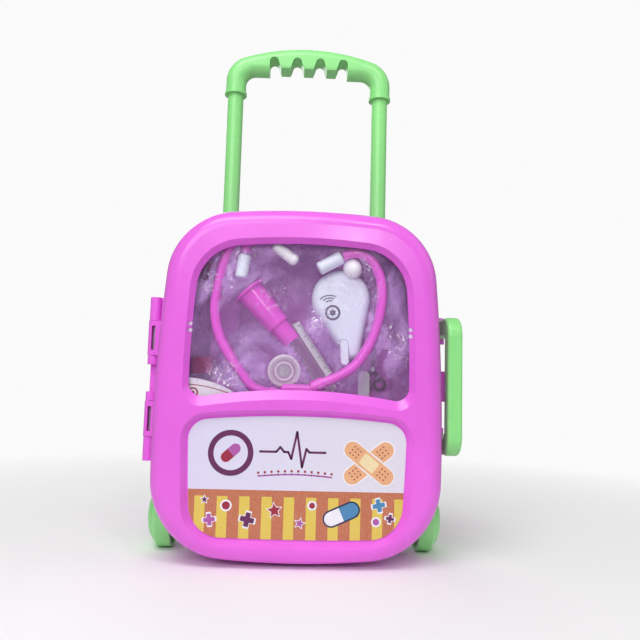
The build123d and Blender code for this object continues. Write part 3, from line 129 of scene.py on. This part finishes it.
class Shade:
    """A node material being put together: a principled shader and helpers that feed it."""

    def __init__(self, name, color, roughness):
        self.material = bpy.data.materials.new(name)
        self.material.use_nodes = True
        self.tree = self.material.node_tree
        self.shader = self.tree.nodes["Principled BSDF"]
        self.place = self.add("ShaderNodeTexCoord").outputs["Object"]
        self.set("Base Color", (*color, 1))
        self.set("Roughness", roughness)

    def add(self, kind, **values):
        node = self.tree.nodes.new(kind)
        for key, value in values.items():
            setattr(node, key, value)
        return node

    def set(self, socket, value):
        self.shader.inputs[socket].default_value = value

    def link(self, source, socket):
        self.tree.links.new(source, socket)

    def feed(self, socket, source):
        self.link(source, self.shader.inputs[socket])

    def axis(self, letter):
        axes = self.add("ShaderNodeSeparateXYZ")
        self.link(self.place, axes.inputs["Vector"])
        return axes.outputs[letter]

    def distance(self, middle=(0, 0, 0)):
        away = self.add("ShaderNodeVectorMath", operation="DISTANCE")
        self.link(self.place, away.inputs[0])
        away.inputs[1].default_value = middle
        return away.outputs["Value"]

    def stretched(self, scale):
        mapping = self.add("ShaderNodeMapping")
        mapping.inputs["Scale"].default_value = scale
        self.link(self.place, mapping.inputs["Vector"])
        return mapping.outputs["Vector"]

    def noise(self, scale, detail=3.0, rough=0.55, stretch=None, distortion=0.0):
        node = self.add("ShaderNodeTexNoise")
        node.inputs["Scale"].default_value = scale
        node.inputs["Detail"].default_value = detail
        node.inputs["Roughness"].default_value = rough
        node.inputs["Distortion"].default_value = distortion
        self.link(self.stretched(stretch) if stretch else self.place, node.inputs["Vector"])
        return node.outputs["Fac"]

    def span(self, source, low, high, to_low, to_high):
        node = self.add("ShaderNodeMapRange")
        self.link(source, node.inputs["Value"])
        for key, value in (("From Min", low), ("From Max", high),
                           ("To Min", to_low), ("To Max", to_high)):
            node.inputs[key].default_value = value
        return node.outputs["Result"]

    def math(self, operation, first, second=0.0):
        node = self.add("ShaderNodeMath", operation=operation)
        for socket, value in zip(node.inputs, (first, second)):
            if isinstance(value, (int, float)):
                socket.default_value = value
            else:
                self.link(value, socket)
        return node.outputs["Value"]

    def times(self, first, second):
        return self.math("MULTIPLY", first, second)

    def plus(self, total, *others):
        for other in others:
            total = self.math("ADD", total, other)
        return total

    def line(self, source, width):
        """A fine line wherever a noise crosses its middle."""
        away = self.math("ABSOLUTE", self.math("SUBTRACT", source, 0.5))
        return self.span(away, 0.0, width, 1.0, 0.0)

    def mix(self, factor, first, second):
        node = self.add("ShaderNodeMix", data_type="RGBA")
        self.link(factor, node.inputs[0])
        for socket, value in ((node.inputs[6], first), (node.inputs[7], second)):
            if isinstance(value, tuple):
                socket.default_value = (*value, 1)
            else:
                self.link(value, socket)
        return node.outputs[2]

    def mottle(self, source, low, high, color, tone):
        """Feeds in a colour that a noise makes a little darker and lighter."""
        factor = self.span(source, low, high, 0, 1)
        self.feed("Base Color", self.mix(factor, toned(color, 1 - tone), toned(color, 1 + tone)))

    def bump(self, *layers):
        """Layers of (height source, strength, distance), one on top of the other."""
        last = None
        for height, strength, distance in layers:
            node = self.add("ShaderNodeBump")
            node.inputs["Strength"].default_value = strength
            node.inputs["Distance"].default_value = distance
            self.link(height, node.inputs["Height"])
            if last:
                self.link(last, node.inputs["Normal"])
            last = node.outputs["Normal"]
        self.feed("Normal", last)
        return last


def moulded(name, color, roughness=0.32, grain=0.05, tone=0.05, scuffs=0.15, deep=0.0):
    """Injection-moulded plastic: flow-mottled colour, fine mould grain and faint scuffs."""
    shade = Shade(name, color, roughness)
    flow = shade.noise(14.0, 4.0, 0.6, stretch=(1, 1, 0.55), distortion=0.6)
    shade.mottle(flow, 0.3, 0.7, color, tone)
    hairs = shade.noise(420.0, 2.0, 0.5, stretch=(1, 1, 0.05), distortion=0.25)
    marks = shade.span(hairs, 0.66, 0.76, 0, scuffs)
    cloud = shade.span(shade.noise(35.0, 3.0), 0.3, 0.7, roughness - 0.05, roughness + 0.05)
    shade.feed("Roughness", shade.plus(cloud, shade.times(marks, 0.25)))
    shade.bump((shade.noise(1300.0, 1.0), grain, 0.0002),
               (shade.noise(16.0, 0.0), 0.10, 0.0016),
               (marks, 0.03, 0.0001))
    shade.set("IOR", PLASTIC_IOR)
    if deep:
        shade.set("Subsurface Weight", deep)
        shade.set("Subsurface Radius", (0.004, 0.0025, 0.004))
        shade.set("Subsurface Scale", 0.6)
    return shade.material


def steel(name, color=(0.62, 0.62, 0.65), roughness=0.25):
    """Plated steel with fine drawn lines."""
    shade = Shade(name, color, roughness)
    shade.set("Metallic", 1.0)
    lines = shade.noise(900.0, 2.0, stretch=(1, 1, 0.05))
    shade.feed("Roughness", shade.span(lines, 0.3, 0.7, roughness - 0.08, roughness + 0.12))
    shade.feed("Base Color", shade.mix(shade.noise(60.0), toned(color, 0.85), toned(color, 1.1)))
    shade.bump((lines, 0.08, 0.0001))
    return shade.material


def clear(name, color, opacity, rim, roughness=0.07, wave=0.25, dust=0.1, lugs_end=None,
          rings=None):
    """Clear moulded plastic: more solid at a glancing angle, with dust and faint waves. Ahead of
    lugs_end it is the thick plastic of its snap lugs, which looks milky. Rings are a middle and
    the radii (start, end) between which light gathers."""
    shade = Shade(name, color, roughness)
    glance = shade.add("ShaderNodeLayerWeight")
    glance.inputs["Blend"].default_value = 0.35
    specks = shade.span(shade.noise(420.0, 3.0), 0.66, 0.74, 0, dust)
    cover = shade.plus(shade.times(glance.outputs["Facing"], rim), opacity, specks)
    if lugs_end is not None:
        lug = shade.math("LESS_THAN", shade.axis("Y"), lugs_end)
        cover = shade.plus(cover, shade.times(lug, 0.75))
    if rings:
        middle, spans = rings
        away = shade.distance(middle)
        for start, end in spans:
            crest = (start + end) / 2
            rise = shade.span(away, start, crest, 0.0, 1.0)
            fall = shade.span(away, crest, end, 1.0, 0.0)
            cover = shade.plus(cover, shade.times(shade.times(rise, fall), 0.6))
    shade.feed("Alpha", cover)
    shade.feed("Roughness",
               shade.span(shade.noise(90.0), 0.3, 0.7, roughness - 0.03, roughness + 0.05))
    shade.bump((shade.noise(22.0, 2.0), wave, 0.002))
    shade.set("IOR", PLASTIC_IOR)
    return shade.material


SLACK = "slack"            # how loosely the film hangs: 0 where drawn over a toy, 1 where free


def film(name):
    """Crinkled clear film: see-through where flat, lilac in its folds, with highlights painted along creases and
    as glints.
    """
    shade = Shade(name, (0.80, 0.74, 0.90), 0.10)
    soft = shade.noise(17.0, 3.0, 0.55, stretch=(1, 1, 0.75), distortion=0.9)
    long = shade.noise(34.0, 4.0, 0.6, stretch=(1, 1, 0.7), distortion=1.4)
    fine = shade.noise(95.0, 3.0, 0.6, distortion=1.6)
    crumpled = shade.bump((soft, 0.8, 0.014), (long, 0.7, 0.007), (fine, 0.4, 0.002))
    # painted highlights: bright creases and glints, which come in patches
    patch = shade.span(shade.noise(26.0, 2.0), 0.50, 0.64, 0.0, 1.0)
    painted_crease_highlights = shade.math("MAXIMUM", shade.line(long, 0.007), shade.line(fine, 0.010))
    glints = shade.span(shade.noise(210.0, 1.0), 0.73, 0.76, 0.0, 1.0)
    bright = shade.plus(shade.times(painted_crease_highlights, patch), shade.times(glints, patch))
    bright = shade.math("MINIMUM", bright, 1.0)
    # a cover that grows in the haze and where the film stands steep
    haze = shade.span(soft, 0.46, 0.61, 0.0, 1.0)
    slope = shade.add("ShaderNodeLayerWeight")
    slope.inputs["Blend"].default_value = 0.42
    shade.link(crumpled, slope.inputs["Normal"])
    steep = shade.math("POWER", slope.outputs["Facing"], 2.2)
    cover = shade.plus(shade.times(haze, 0.40), shade.times(steep, 0.50), 0.13)
    slack = shade.add("ShaderNodeAttribute", attribute_name=SLACK).outputs["Fac"]
    # the painted highlights also cover what lies behind the film
    cover = shade.plus(shade.times(cover, slack), 0.02, shade.times(bright, 0.8))
    shade.feed("Alpha", shade.math("MINIMUM", cover, 0.92))
    # painted highlights: the colour turns near white along the bright creases and glints
    shade.feed("Base Color", shade.mix(bright, (0.76, 0.46, 1.0), (1.0, 0.97, 1.0)))
    shade.set("IOR", FILM_IOR)
    return shade.material


def printed(name, color, roughness=0.38, tone=0.05):
    """Ink on coated card or film: fine fibre mottling."""
    shade = Shade(name, color, roughness)
    fleck = shade.noise(700.0, 3.0)
    shade.mottle(fleck, 0.35, 0.65, color, tone)
    shade.bump((fleck, 0.06, 0.0001))
    return shade.material


# light gathers in two rings of the lens, each from one radius to another
lens_low, lens_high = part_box("round_lens")
LENS_MIDDLE = ((lens_low[0] + lens_high[0]) / 2, lens_low[1], (lens_low[2] + lens_high[2]) / 2)
LENS_RADIUS = (lens_high[0] - lens_low[0]) / 2
LENS_RINGS = ((0.40 * LENS_RADIUS, 0.62 * LENS_RADIUS), (0.76 * LENS_RADIUS, 1.06 * LENS_RADIUS))
LUGS_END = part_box("lid_window")[0][1] + 2.4 * MM       # the pane's snap lugs lie ahead of this
PINK = (0.82, 0.142, 0.77)
GREEN = (0.28, 0.77, 0.25)
MATERIALS = {
    "case": moulded("case_pink", PINK, roughness=0.23, deep=0.12),
    "case_back": moulded("case_pink_tray", PINK, roughness=0.27, deep=0.12),
    "green": moulded("moulded_green", GREEN, roughness=0.30, deep=0.10),
    "steel": steel("plated_steel"),
    # pins: rougher steel; the darker, pink-tinted colour is painted shade of the hinge slots and a painted
    # reflection of the pink case
    "pin": steel("dull_steel_painted_shade", (0.40, 0.34, 0.39), 0.5),
    "pane": clear("window_clear", (0.90, 0.80, 0.97), 0.015, 0.20, wave=0.12, dust=0.03,
                  lugs_end=LUGS_END),
    "film": film("clear_film"),
    "toy_pink": moulded("toy_pink", (0.84, 0.11, 0.72), roughness=0.17, deep=0.15),
    "white": moulded("toy_white", (0.80, 0.86, 0.99), roughness=0.24, tone=0.03, deep=0.15),
    "bright": moulded("toy_bright", (0.97, 0.98, 1.0), roughness=0.18, tone=0.01),
    "lens": clear("lens_clear", (1.0, 0.98, 1.0), 0.16, 1.0, wave=0.9, dust=0.4,
                  rings=(LENS_MIDDLE, LENS_RINGS)),
    "clear_toy": clear("toy_clear", (1.0, 0.92, 1.0), 0.07, 0.95, wave=0.7, dust=0.35),
    "purple": moulded("toy_purple", (0.10, 0.006, 0.05), roughness=0.30),
    "red": moulded("toy_red", (0.52, 0.02, 0.20), roughness=0.32),
    "card": printed("white_card", (0.78, 0.74, 0.80)),
}
CLOTHES = {
    "case": ["lid", "latch"],
    "case_back": ["tray", "back_cover"],
    "green": ["pull_grip", "pull_post_left", "pull_post_right", "post_slider_left",
              "post_slider_right", "guide_bush_left", "guide_bush_right", "carry_handle",
              "wheel_left", "wheel_right", "hub_cap_left", "hub_cap_right"],
    "steel": ["back_cover_screws", "thermometer_trigger_pin", "scissors_rivet", "lens_core",
              "silver_clip"],
    "pin": ["hinge_pin_upper", "hinge_pin_lower", "latch_pin", "carry_handle_pins",
            "axle_pin_left", "axle_pin_right"],
    "pane": ["lid_window"],
    "toy_pink": ["stethoscope_tube_left", "stethoscope_tube_right", "stethoscope_yoke",
                 "ear_scope"],
    "white": ["stethoscope_ear_tip_left", "stethoscope_ear_tip_right", "thermometer_body",
              "thermometer_trigger"],
    "bright": ["thermometer_probe", "white_capsule", "scale_strip", "spatula"],
    "clear_toy": ["clear_tube"],
    "lens": ["round_lens"],
    "purple": ["scissors_half_a", "scissors_half_b"],
    "red": ["pill_box", "maroon_button"],
    "card": ["paper_card"],
    "film": ["clear_bag"],
}


def dress(obj, material):
    obj.data.materials.clear()
    obj.data.materials.append(material)


for cloth, names in CLOTHES.items():
    for name in names:
        dress(nodes[name], MATERIALS[cloth])

# ---------------------------------------------------------------- floor
FADE_START, FADE_END = 0.16, 0.75      # the paper fades into the backdrop over this distance
floor_mesh = bpy.data.meshes.new("floor")
floor_mesh.from_pydata([(-4, -3, 0), (4, -3, 0), (4, 5, 0), (-4, 5, 0)], [], [(0, 1, 2, 3)])
floor = bpy.data.objects.new("floor", floor_mesh)
scene.collection.objects.link(floor)
floor_shade = Shade("floor_paper", (0.93, 0.93, 0.93), 0.85)
floor_shade.bump((floor_shade.noise(300.0, 2.0), 0.02, 0.0002))
floor_shade.feed("Alpha",
                 floor_shade.span(floor_shade.distance(), FADE_START, FADE_END, 1.0, 0.0))
dress(floor, floor_shade.material)


# ---------------------------------------------------------------- flat printed shapes
LAYER = 0.05               # height of one layer of print, mm


def solid(name, mesh, material, body):
    bmesh.ops.recalc_face_normals(mesh, faces=mesh.faces[:])
    data = bpy.data.meshes.new(name)
    mesh.to_mesh(data)
    mesh.free()
    obj = bpy.data.objects.new(name, data)
    scene.collection.objects.link(obj)
    dress(obj, material)
    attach(obj, body)


def close(mesh, first, second):
    """A band of faces between two loops with as many points each."""
    for i in range(len(first)):
        j = (i + 1) % len(first)
        mesh.faces.new((first[i], first[j], second[j], second[i]))


def print_shapes(name, shapes, y, ink, body="door"):
    """Raises flat shapes by a layer of ink. A shape is a loop of (x, z) in millimetres, or a
    pair of loops with as many points each, the second one being the hole."""
    mesh = bmesh.new()
    for shape in shapes:
        loops = shape if isinstance(shape[0], list) else [shape]
        rows = [[[mesh.verts.new((x * MM, depth * MM, z * MM)) for x, z in loop]
                 for loop in loops] for depth in (y, y - LAYER)]
        for low, high in zip(*rows):
            close(mesh, low, high)
        for row in rows:
            if len(loops) == 1:
                mesh.faces.new(row[0])
            else:
                close(mesh, *row)
    solid(name, mesh, INK[ink], body)


def moved(points, x, z, size=1.0, turn=0.0):
    t = math.radians(turn)
    return [(x + size * (u * math.cos(t) - v * math.sin(t)),
             z + size * (u * math.sin(t) + v * math.cos(t))) for u, v in points]


def circle(count=48):
    return [(math.cos(2 * math.pi * k / count), math.sin(2 * math.pi * k / count))
            for k in range(count)]


def ring(x, z, outer, inner):
    return [moved(circle(), x, z, outer), moved(circle(), x, z, inner)]


def rounded(points, radius, steps=6):
    """A closed polygon with each corner rounded by a curve that starts and ends on its edges."""
    result = []
    count = len(points)
    for k in range(count):
        a, b, c = (Vector(points[k - 1]), Vector(points[k]), Vector(points[(k + 1) % count]))
        ra = min(radius, (a - b).length / 2)
        rc = min(radius, (c - b).length / 2)
        start, end = b + (a - b).normalized() * ra, b + (c - b).normalized() * rc
        for i in range(steps + 1):
            t = i / steps
            p = (1 - t) ** 2 * start + 2 * t * (1 - t) * b + t * t * end
            result.append((p.x, p.y))
    return result


def plus(arm=0.36, radius=0.12):
    corners = [(arm, arm), (1, arm), (1, -arm), (arm, -arm), (arm, -1), (-arm, -1),
               (-arm, -arm), (-1, -arm), (-1, arm), (-arm, arm), (-arm, 1), (arm, 1)]
    return rounded(corners[::-1], radius, 4)


def bar(length, width):
    """A straight bar with round ends, along x, centred."""
    half = length / 2 - width / 2
    right_end = [(half + width / 2 * math.sin(math.pi * k / 12),
                  width / 2 * math.cos(math.pi * k / 12)) for k in range(13)]
    return right_end + [(-x, -z) for x, z in right_end]


def half_bar(length, width):
    """The half of a bar to the right of its middle."""
    return ([(0, width / 2)] + [p for p in bar(length, width) if p[0] > 0]
            + [(0, -width / 2)])


def star(points=5, inner=0.45):
    loop = []
    for k in range(2 * points):
        r = 1.0 if k % 2 == 0 else inner
        a = math.pi / 2 + math.pi * k / points
        loop.append((r * math.cos(a), r * math.sin(a)))
    return rounded(loop, 0.12, 3)


def stroke(path, width):
    """A line of even width along a path of (x, z): a bar for each run and a disc at each joint."""
    shapes = []
    for a, b in zip(path, path[1:]):
        across = (Vector(b) - Vector(a)).normalized() * width / 2
        n = Vector((-across.y, across.x))
        shapes.append([(a[0] + n.x, a[1] + n.y), (a[0] - n.x, a[1] - n.y),
                       (b[0] - n.x, b[1] - n.y), (b[0] + n.x, b[1] + n.y)])
    shapes.extend(moved(circle(14), x, z, width / 2) for x, z in path)
    return shapes


INK = {
    "maroon": printed("ink_maroon", (0.33, 0.02, 0.05)),
    "purple": printed("ink_purple", (0.13, 0.02, 0.10)),
    "lilac": printed("ink_lilac", (0.42, 0.10, 0.38)),
    "blue": printed("ink_blue", (0.07, 0.24, 0.46)),
    "navy": printed("ink_navy", (0.01, 0.02, 0.08)),
    "tan": printed("ink_tan", (0.80, 0.42, 0.22)),
    "cream": printed("ink_cream", (0.86, 0.70, 0.42)),
    "white": printed("ink_white", (0.84, 0.82, 0.90)),
    "grey": printed("ink_grey", (0.10, 0.09, 0.13)),
}

# ---------------------------------------------------------------- printed label
LABEL_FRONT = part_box("label_panel")[0][1] / MM
BAND_TOP = 57.6            # top of the striped band, mm above the floor
BAND_EDGE = 4.8            # plain strip above the stripes
STRIPE_PITCH = 16.56
STRIPE_WIDTH = 7.7         # of a yellow stripe
STRIPE_START = -75.4       # left edge of the first yellow stripe


def label_paper():
    """Coated card: a plain field over a band of stripes."""
    paper = Shade("label_paper", (0.70, 0.66, 0.84), 0.30)
    across, height = paper.axis("X"), paper.axis("Z")
    run = paper.math("DIVIDE", paper.math("SUBTRACT", across, STRIPE_START * MM),
                     STRIPE_PITCH * MM)
    inside = paper.math("LESS_THAN", paper.math("FRACT", run), STRIPE_WIDTH / STRIPE_PITCH)
    below = paper.math("LESS_THAN", height, (BAND_TOP - BAND_EDGE) * MM)
    stripes = paper.mix(paper.times(inside, below), (0.50, 0.125, 0.035), (0.72, 0.53, 0.045))
    drift = paper.span(across, -0.08, 0.08, 0.0, 1.0)
    field = paper.mix(drift, (0.69, 0.66, 0.86), (0.73, 0.70, 0.80))
    ink = paper.mix(paper.math("LESS_THAN", height, BAND_TOP * MM), field, stripes)
    fleck = paper.noise(700.0, 3.0)
    paper.feed("Base Color",
               paper.mix(paper.span(fleck, 0.2, 0.8, 0.0, 0.12), ink, (0.9, 0.88, 0.92)))
    paper.bump((fleck, 0.05, 0.0001), (paper.noise(20.0, 1.0), 0.10, 0.001))
    return paper.material


def print_capsule(name, x, z, turn, length, width, y, ink, end_ink):
    """A capsule whose right half has a colour of its own."""
    print_shapes(name, [moved(bar(length, width), x, z, 1, turn)], y, ink)
    print_shapes(name + "_end", [moved(half_bar(length, width), x, z, 1, turn)], y - LAYER,
                 end_ink)


dress(nodes["label_panel"], label_paper())

# ring and capsule in the field's left half
RING_X, RING_Z, RING_RADIUS, RING_WIDTH = -50.0, 84.5, 17.0, 4.2
print_shapes("print_ring", [ring(RING_X, RING_Z, RING_RADIUS, RING_RADIUS - RING_WIDTH)],
             LABEL_FRONT, "purple")
print_capsule("print_ring_capsule", RING_X, RING_Z, 42.0, 17.0, 7.6, LABEL_FRONT, "maroon",
              "lilac")

# a pulse line with a dotted rule below it
PULSE = [(-28, 86), (-16, 86), (-13, 89.5), (-10, 86), (-7, 86), (-4.6, 81), (-0.6, 101),
         (3.6, 75), (6.6, 88.5), (9, 86), (21, 86)]
print_shapes("print_pulse", stroke(PULSE, 1.7), LABEL_FRONT, "purple")
RULE_X, RULE_Z, RULE_PITCH, RULE_ARCH, RULE_DOTS = -29, 69.5, 5, 1.6, 12
rule = [(RULE_X + RULE_PITCH * k, RULE_Z + RULE_ARCH * math.sin(math.pi * k / (RULE_DOTS - 1)))
        for k in range(RULE_DOTS)]
print_shapes("print_rule", stroke([(x, z - 1.6) for x, z in rule], 1.1), LABEL_FRONT, "lilac")
print_shapes("print_rule_dots", [moved(circle(16), x, z + 0.8, 0.95) for x, z in rule],
             LABEL_FRONT, "maroon")

# two crossed plasters in the right half
PLASTER_X, PLASTER_Z, PLASTER_LENGTH, PLASTER_WIDTH = 54.0, 79.0, 44.0, 12.4
PLASTER_RIM = 2.2          # of white, over both sides together
HOLES_START, HOLE_PITCH, HOLE_RADIUS = 10.2, 2.9, 0.62
pad = rounded([(-6.6, -4.6), (6.6, -4.6), (6.6, 4.6), (-6.6, 4.6)], 1.6)
holes = [(side * (HOLES_START + HOLE_PITCH * i), HOLE_PITCH * j)
         for side in (1, -1) for i in range(3) for j in (-1, 0, 1)]
rim = bar(PLASTER_LENGTH + PLASTER_RIM, PLASTER_WIDTH + PLASTER_RIM)
for number, turn in enumerate((38.0, -38.0)):
    y = LABEL_FRONT - 3 * LAYER * number
    seat = (PLASTER_X, PLASTER_Z, 1, turn)
    tag = f"print_plaster_{number + 1}"
    print_shapes(tag + "_rim", [moved(rim, *seat)], y, "white")
    print_shapes(tag, [moved(bar(PLASTER_LENGTH, PLASTER_WIDTH), *seat)], y - LAYER, "tan")
    print_shapes(tag + "_holes", [moved(moved(circle(12), u, v, HOLE_RADIUS), *seat)
                                  for u, v in holes], y - 2 * LAYER, "maroon")
    print_shapes(tag + "_pad", [moved(pad, *seat)], y - 2 * LAYER, "cream")

# a capsule and small signs on the stripes
CAPSULE_X, CAPSULE_Z, CAPSULE_TURN = 34.0, 41.0, 24.0
CAPSULE_LENGTH, CAPSULE_WIDTH, CAPSULE_RIM = 27.0, 10.4, 2.4
rim = bar(CAPSULE_LENGTH + CAPSULE_RIM, CAPSULE_WIDTH + CAPSULE_RIM)
print_shapes("print_capsule_rim", [moved(rim, CAPSULE_X, CAPSULE_Z, 1, CAPSULE_TURN)],
             LABEL_FRONT, "navy")
print_capsule("print_capsule", CAPSULE_X, CAPSULE_Z, CAPSULE_TURN, CAPSULE_LENGTH, CAPSULE_WIDTH,
              LABEL_FRONT - LAYER, "white", "blue")
SIGN_RIM = 1.3             # of white, all round
SIGNS = (      # shape, x, z, size, turn, ink
    ("plus", 62.0, 48.0, 4.6, 12, "blue"), ("plus", 70.5, 38.6, 3.0, -10, "purple"),
    ("circle", 60.0, 36.0, 2.4, 0, "lilac"), ("star", -16.0, 43.0, 5.4, 8, "maroon"),
    ("star", 3.0, 34.0, 3.6, -14, "lilac"), ("plus", -64.0, 35.6, 4.2, 8, "lilac"),
    ("circle", -52.0, 46.0, 3.0, 0, "maroon"), ("plus", -36.0, 36.0, 5.2, -12, "purple"),
    ("circle", 12.0, 47.0, 2.2, 0, "maroon"), ("star", -68.0, 50.0, 2.6, 0, "purple"),
)
SIGN_SHAPES = {"plus": plus(), "circle": circle(32), "star": star()}
for number, (form, x, z, size, turn, ink) in enumerate(SIGNS):
    shape, tag = SIGN_SHAPES[form], f"print_sign_{number + 1}"
    print_shapes(tag + "_rim", [moved(shape, x, z, size + SIGN_RIM, turn)], LABEL_FRONT, "white")
    print_shapes(tag, [moved(shape, x, z, size, turn)], LABEL_FRONT - LAYER, ink)

# ---------------------------------------------------------------- marks on the toys
BODY_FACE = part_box("thermometer_body")[0][1] / MM
BUTTON_X, BUTTON_Z = 24.6, 194.0
print_shapes("thermometer_button", [ring(BUTTON_X, BUTTON_Z, 6.2, 4.4),
                                    moved(star(6, 0.62), BUTTON_X, BUTTON_Z, 3.2)],
             BODY_FACE, "grey", "case")
WAVE_X, WAVE_Z = BUTTON_X - 2.2, BUTTON_Z + 7.0
WAVE_RADII, WAVE_FLATNESS = (3.4, 6.2, 9.0), 0.75
WAVE_ANGLES = range(62, 151, 8)
waves = [[(WAVE_X + r * math.cos(math.radians(t)),
           WAVE_Z + WAVE_FLATNESS * r * math.sin(math.radians(t))) for t in WAVE_ANGLES]
         for r in WAVE_RADII]
print_shapes("thermometer_waves", [run for wave in waves for run in stroke(wave, 0.85)],
             BODY_FACE, "grey", "case")

strip_low, strip_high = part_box("scale_strip")
strip_middle = ((strip_low[0] + strip_high[0]) / 2 / MM, (strip_low[2] + strip_high[2]) / 2 / MM)
TUBE_RUN, TUBE_DROP = 36.6, 53.2       # how far the clear tube and its strip go right and down
STRIP_TURN = math.degrees(math.atan2(-TUBE_DROP, TUBE_RUN))
STRIP_EDGE = 2.7           # from the strip's middle line to the side where its ticks start
FIRST_TICK, TICK_PITCH, TICK_WIDTH, TICKS = -22.5, 2.05, 0.8, 23
TICK, LONG_TICK, LONG_EVERY = 1.8, 2.9, 5
ticks = []
for k in range(TICKS):
    end = STRIP_EDGE - (TICK if k % LONG_EVERY else LONG_TICK)
    u = FIRST_TICK + TICK_PITCH * k
    ticks.append(moved([(u, end), (u + TICK_WIDTH, end), (u + TICK_WIDTH, STRIP_EDGE),
                        (u, STRIP_EDGE)], *strip_middle, 1, STRIP_TURN))
print_shapes("scale_ticks", ticks, strip_low[1] / MM, "grey", "case")

CARD_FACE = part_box("paper_card")[0][1] / MM
CARD_LINE_X, CARD_LINE_Z, CARD_STEP = -87.0, 134.8, 3.5
CARD_MARK_X, CARD_MARK_Z = -81.0, 128.5
card_line = [(CARD_LINE_X + CARD_STEP * k,
              CARD_LINE_Z - 0.0052 * (CARD_STEP * k) ** 2 - 0.05 * k) for k in range(12)]
print_shapes("card_line", stroke(card_line, 0.7), CARD_FACE, "maroon", "case")
print_shapes("card_mark", [ring(CARD_MARK_X, CARD_MARK_Z, 4.0, 2.8),
                           moved(circle(20), CARD_MARK_X, CARD_MARK_Z, 1.3)],
             CARD_FACE, "maroon", "case")

# ---------------------------------------------------------------- the clear bag
BAG_VOXEL = 0.0026
BAG_CLEAR = 0.00035        # left between the film and what it lies on
BAG_SINK = 0.011           # the film's folds are no deeper
CRINKLE = 0.0009           # small facets take up to this much of the room as well
SIGHT = 0.05               # how far inward a toy is looked for
OVER_A_TOY = 0.22          # the film's slackness there at most
SLACK_START, SLACK_RUN = 0.002, 0.014      # it loosens over this much room
SWEEP_STEPS = 5            # a moving toy counts at its rest and at this many turns


def outer_shell(source):
    """The outer of the two shells of a hollow solid, as a bmesh."""
    mesh = bmesh.new()
    mesh.from_mesh(source.data)
    bmesh.ops.remove_doubles(mesh, verts=mesh.verts[:], dist=1e-6)
    seen, shells = set(), []
    for start in mesh.verts:
        if start in seen:
            continue
        group, heap = [], [start]
        seen.add(start)
        while heap:
            v = heap.pop()
            group.append(v)
            for e in v.link_edges:
                w = e.other_vert(v)
                if w not in seen:
                    seen.add(w)
                    heap.append(w)
        shells.append(group)
    shells.sort(key=lambda g: -(max(v.co.x for v in g) - min(v.co.x for v in g)))
    for group in shells[1:]:
        bmesh.ops.delete(mesh, geom=group, context="VERTS")
    return mesh


def evened(mesh, name):
    """An object with the mesh's form in even voxels."""
    data = bpy.data.meshes.new(name)
    mesh.to_mesh(data)
    mesh.free()
    obj = bpy.data.objects.new(name, data)
    scene.collection.objects.link(obj)
    even = obj.modifiers.new("even", "REMESH")
    even.mode = "VOXEL"
    even.voxel_size = BAG_VOXEL
    result = bpy.data.meshes.new_from_object(
        obj.evaluated_get(bpy.context.evaluated_depsgraph_get()))
    obj.modifiers.clear()
    obj.data = result
    return obj


def turned(joint, degrees):
    if not degrees:
        return Matrix.Identity(4)
    pivot = Vector(joint["pos_m"])
    return (Matrix.Translation(pivot)
            @ Matrix.Rotation(math.radians(degrees), 4, Vector(joint["axis"]))
            @ Matrix.Translation(-pivot))


def swept_toys():
    """What the film lies on: the toys, over the whole travel of those that move."""
    record = frame["record"]
    body_of = {name: body for body, names in record["behaviour"]["bodies"].items()
               for name in names}
    joint_of = {joint["child"]: joint for joint in frame["joints"]}
    points, faces = [], []
    for name in record["physics"]["no_collision_nodes"]:
        if name == "clear_bag":
            continue
        toy = nodes[name].data
        joint = joint_of.get(body_of[name])
        turns = [0]
        if joint:
            turns = [joint["range_deg"][1] * k / SWEEP_STEPS for k in range(SWEEP_STEPS + 1)]
        for turn in turns:
            pose = turned(joint, turn)
            base = len(points)
            points.extend(pose @ v.co for v in toy.vertices)
            faces.extend([base + i for i in p.vertices] for p in toy.polygons)
    return BVHTree.FromPolygons(points, faces)


def hang(v, toys):
    """How far a point of the film moves inward, and how slack the film is there."""
    inward = -v.normal
    hit = toys.ray_cast(v.co - inward * 0.0001, inward, SIGHT)[3]
    room = SIGHT if hit is None else min(hit, SIGHT)
    near = toys.find_nearest(v.co)[3]
    free = max(0.0, min(room - BAG_CLEAR, near * 0.9 - BAG_CLEAR, BAG_SINK))
    cells = noise.voronoi(Vector((v.co.x * 42, v.co.y * 42, v.co.z * 30)))[0]
    facet = min(1.0, (cells[1] - cells[0]) * 2.2)
    wave = 0.5 + 0.5 * noise.noise(v.co * 60)
    fold = free * (0.25 + 0.55 * facet * wave + 0.2 * wave) + min(free, CRINKLE) * facet * 0.4
    most = 1.0 if hit is None else OVER_A_TOY
    return inward * fold, min(most, max(0.0, (room - SLACK_START) / SLACK_RUN))


bag = evened(outer_shell(nodes["clear_bag"]), "film_bag")
toys = swept_toys()
net = bmesh.new()
net.from_mesh(bag.data)
net.normal_update()
hung = [hang(v, toys) for v in net.verts]
for v, (shift, _) in zip(net.verts, hung):
    v.co += shift
net.to_mesh(bag.data)
net.free()
loose = bag.data.attributes.new(SLACK, "FLOAT", "POINT")
loose.data.foreach_set("value", [slack for _, slack in hung])
for face in bag.data.polygons:
    face.use_smooth = True
dress(bag, MATERIALS["film"])
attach(bag, "case")
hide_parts("clear_bag")
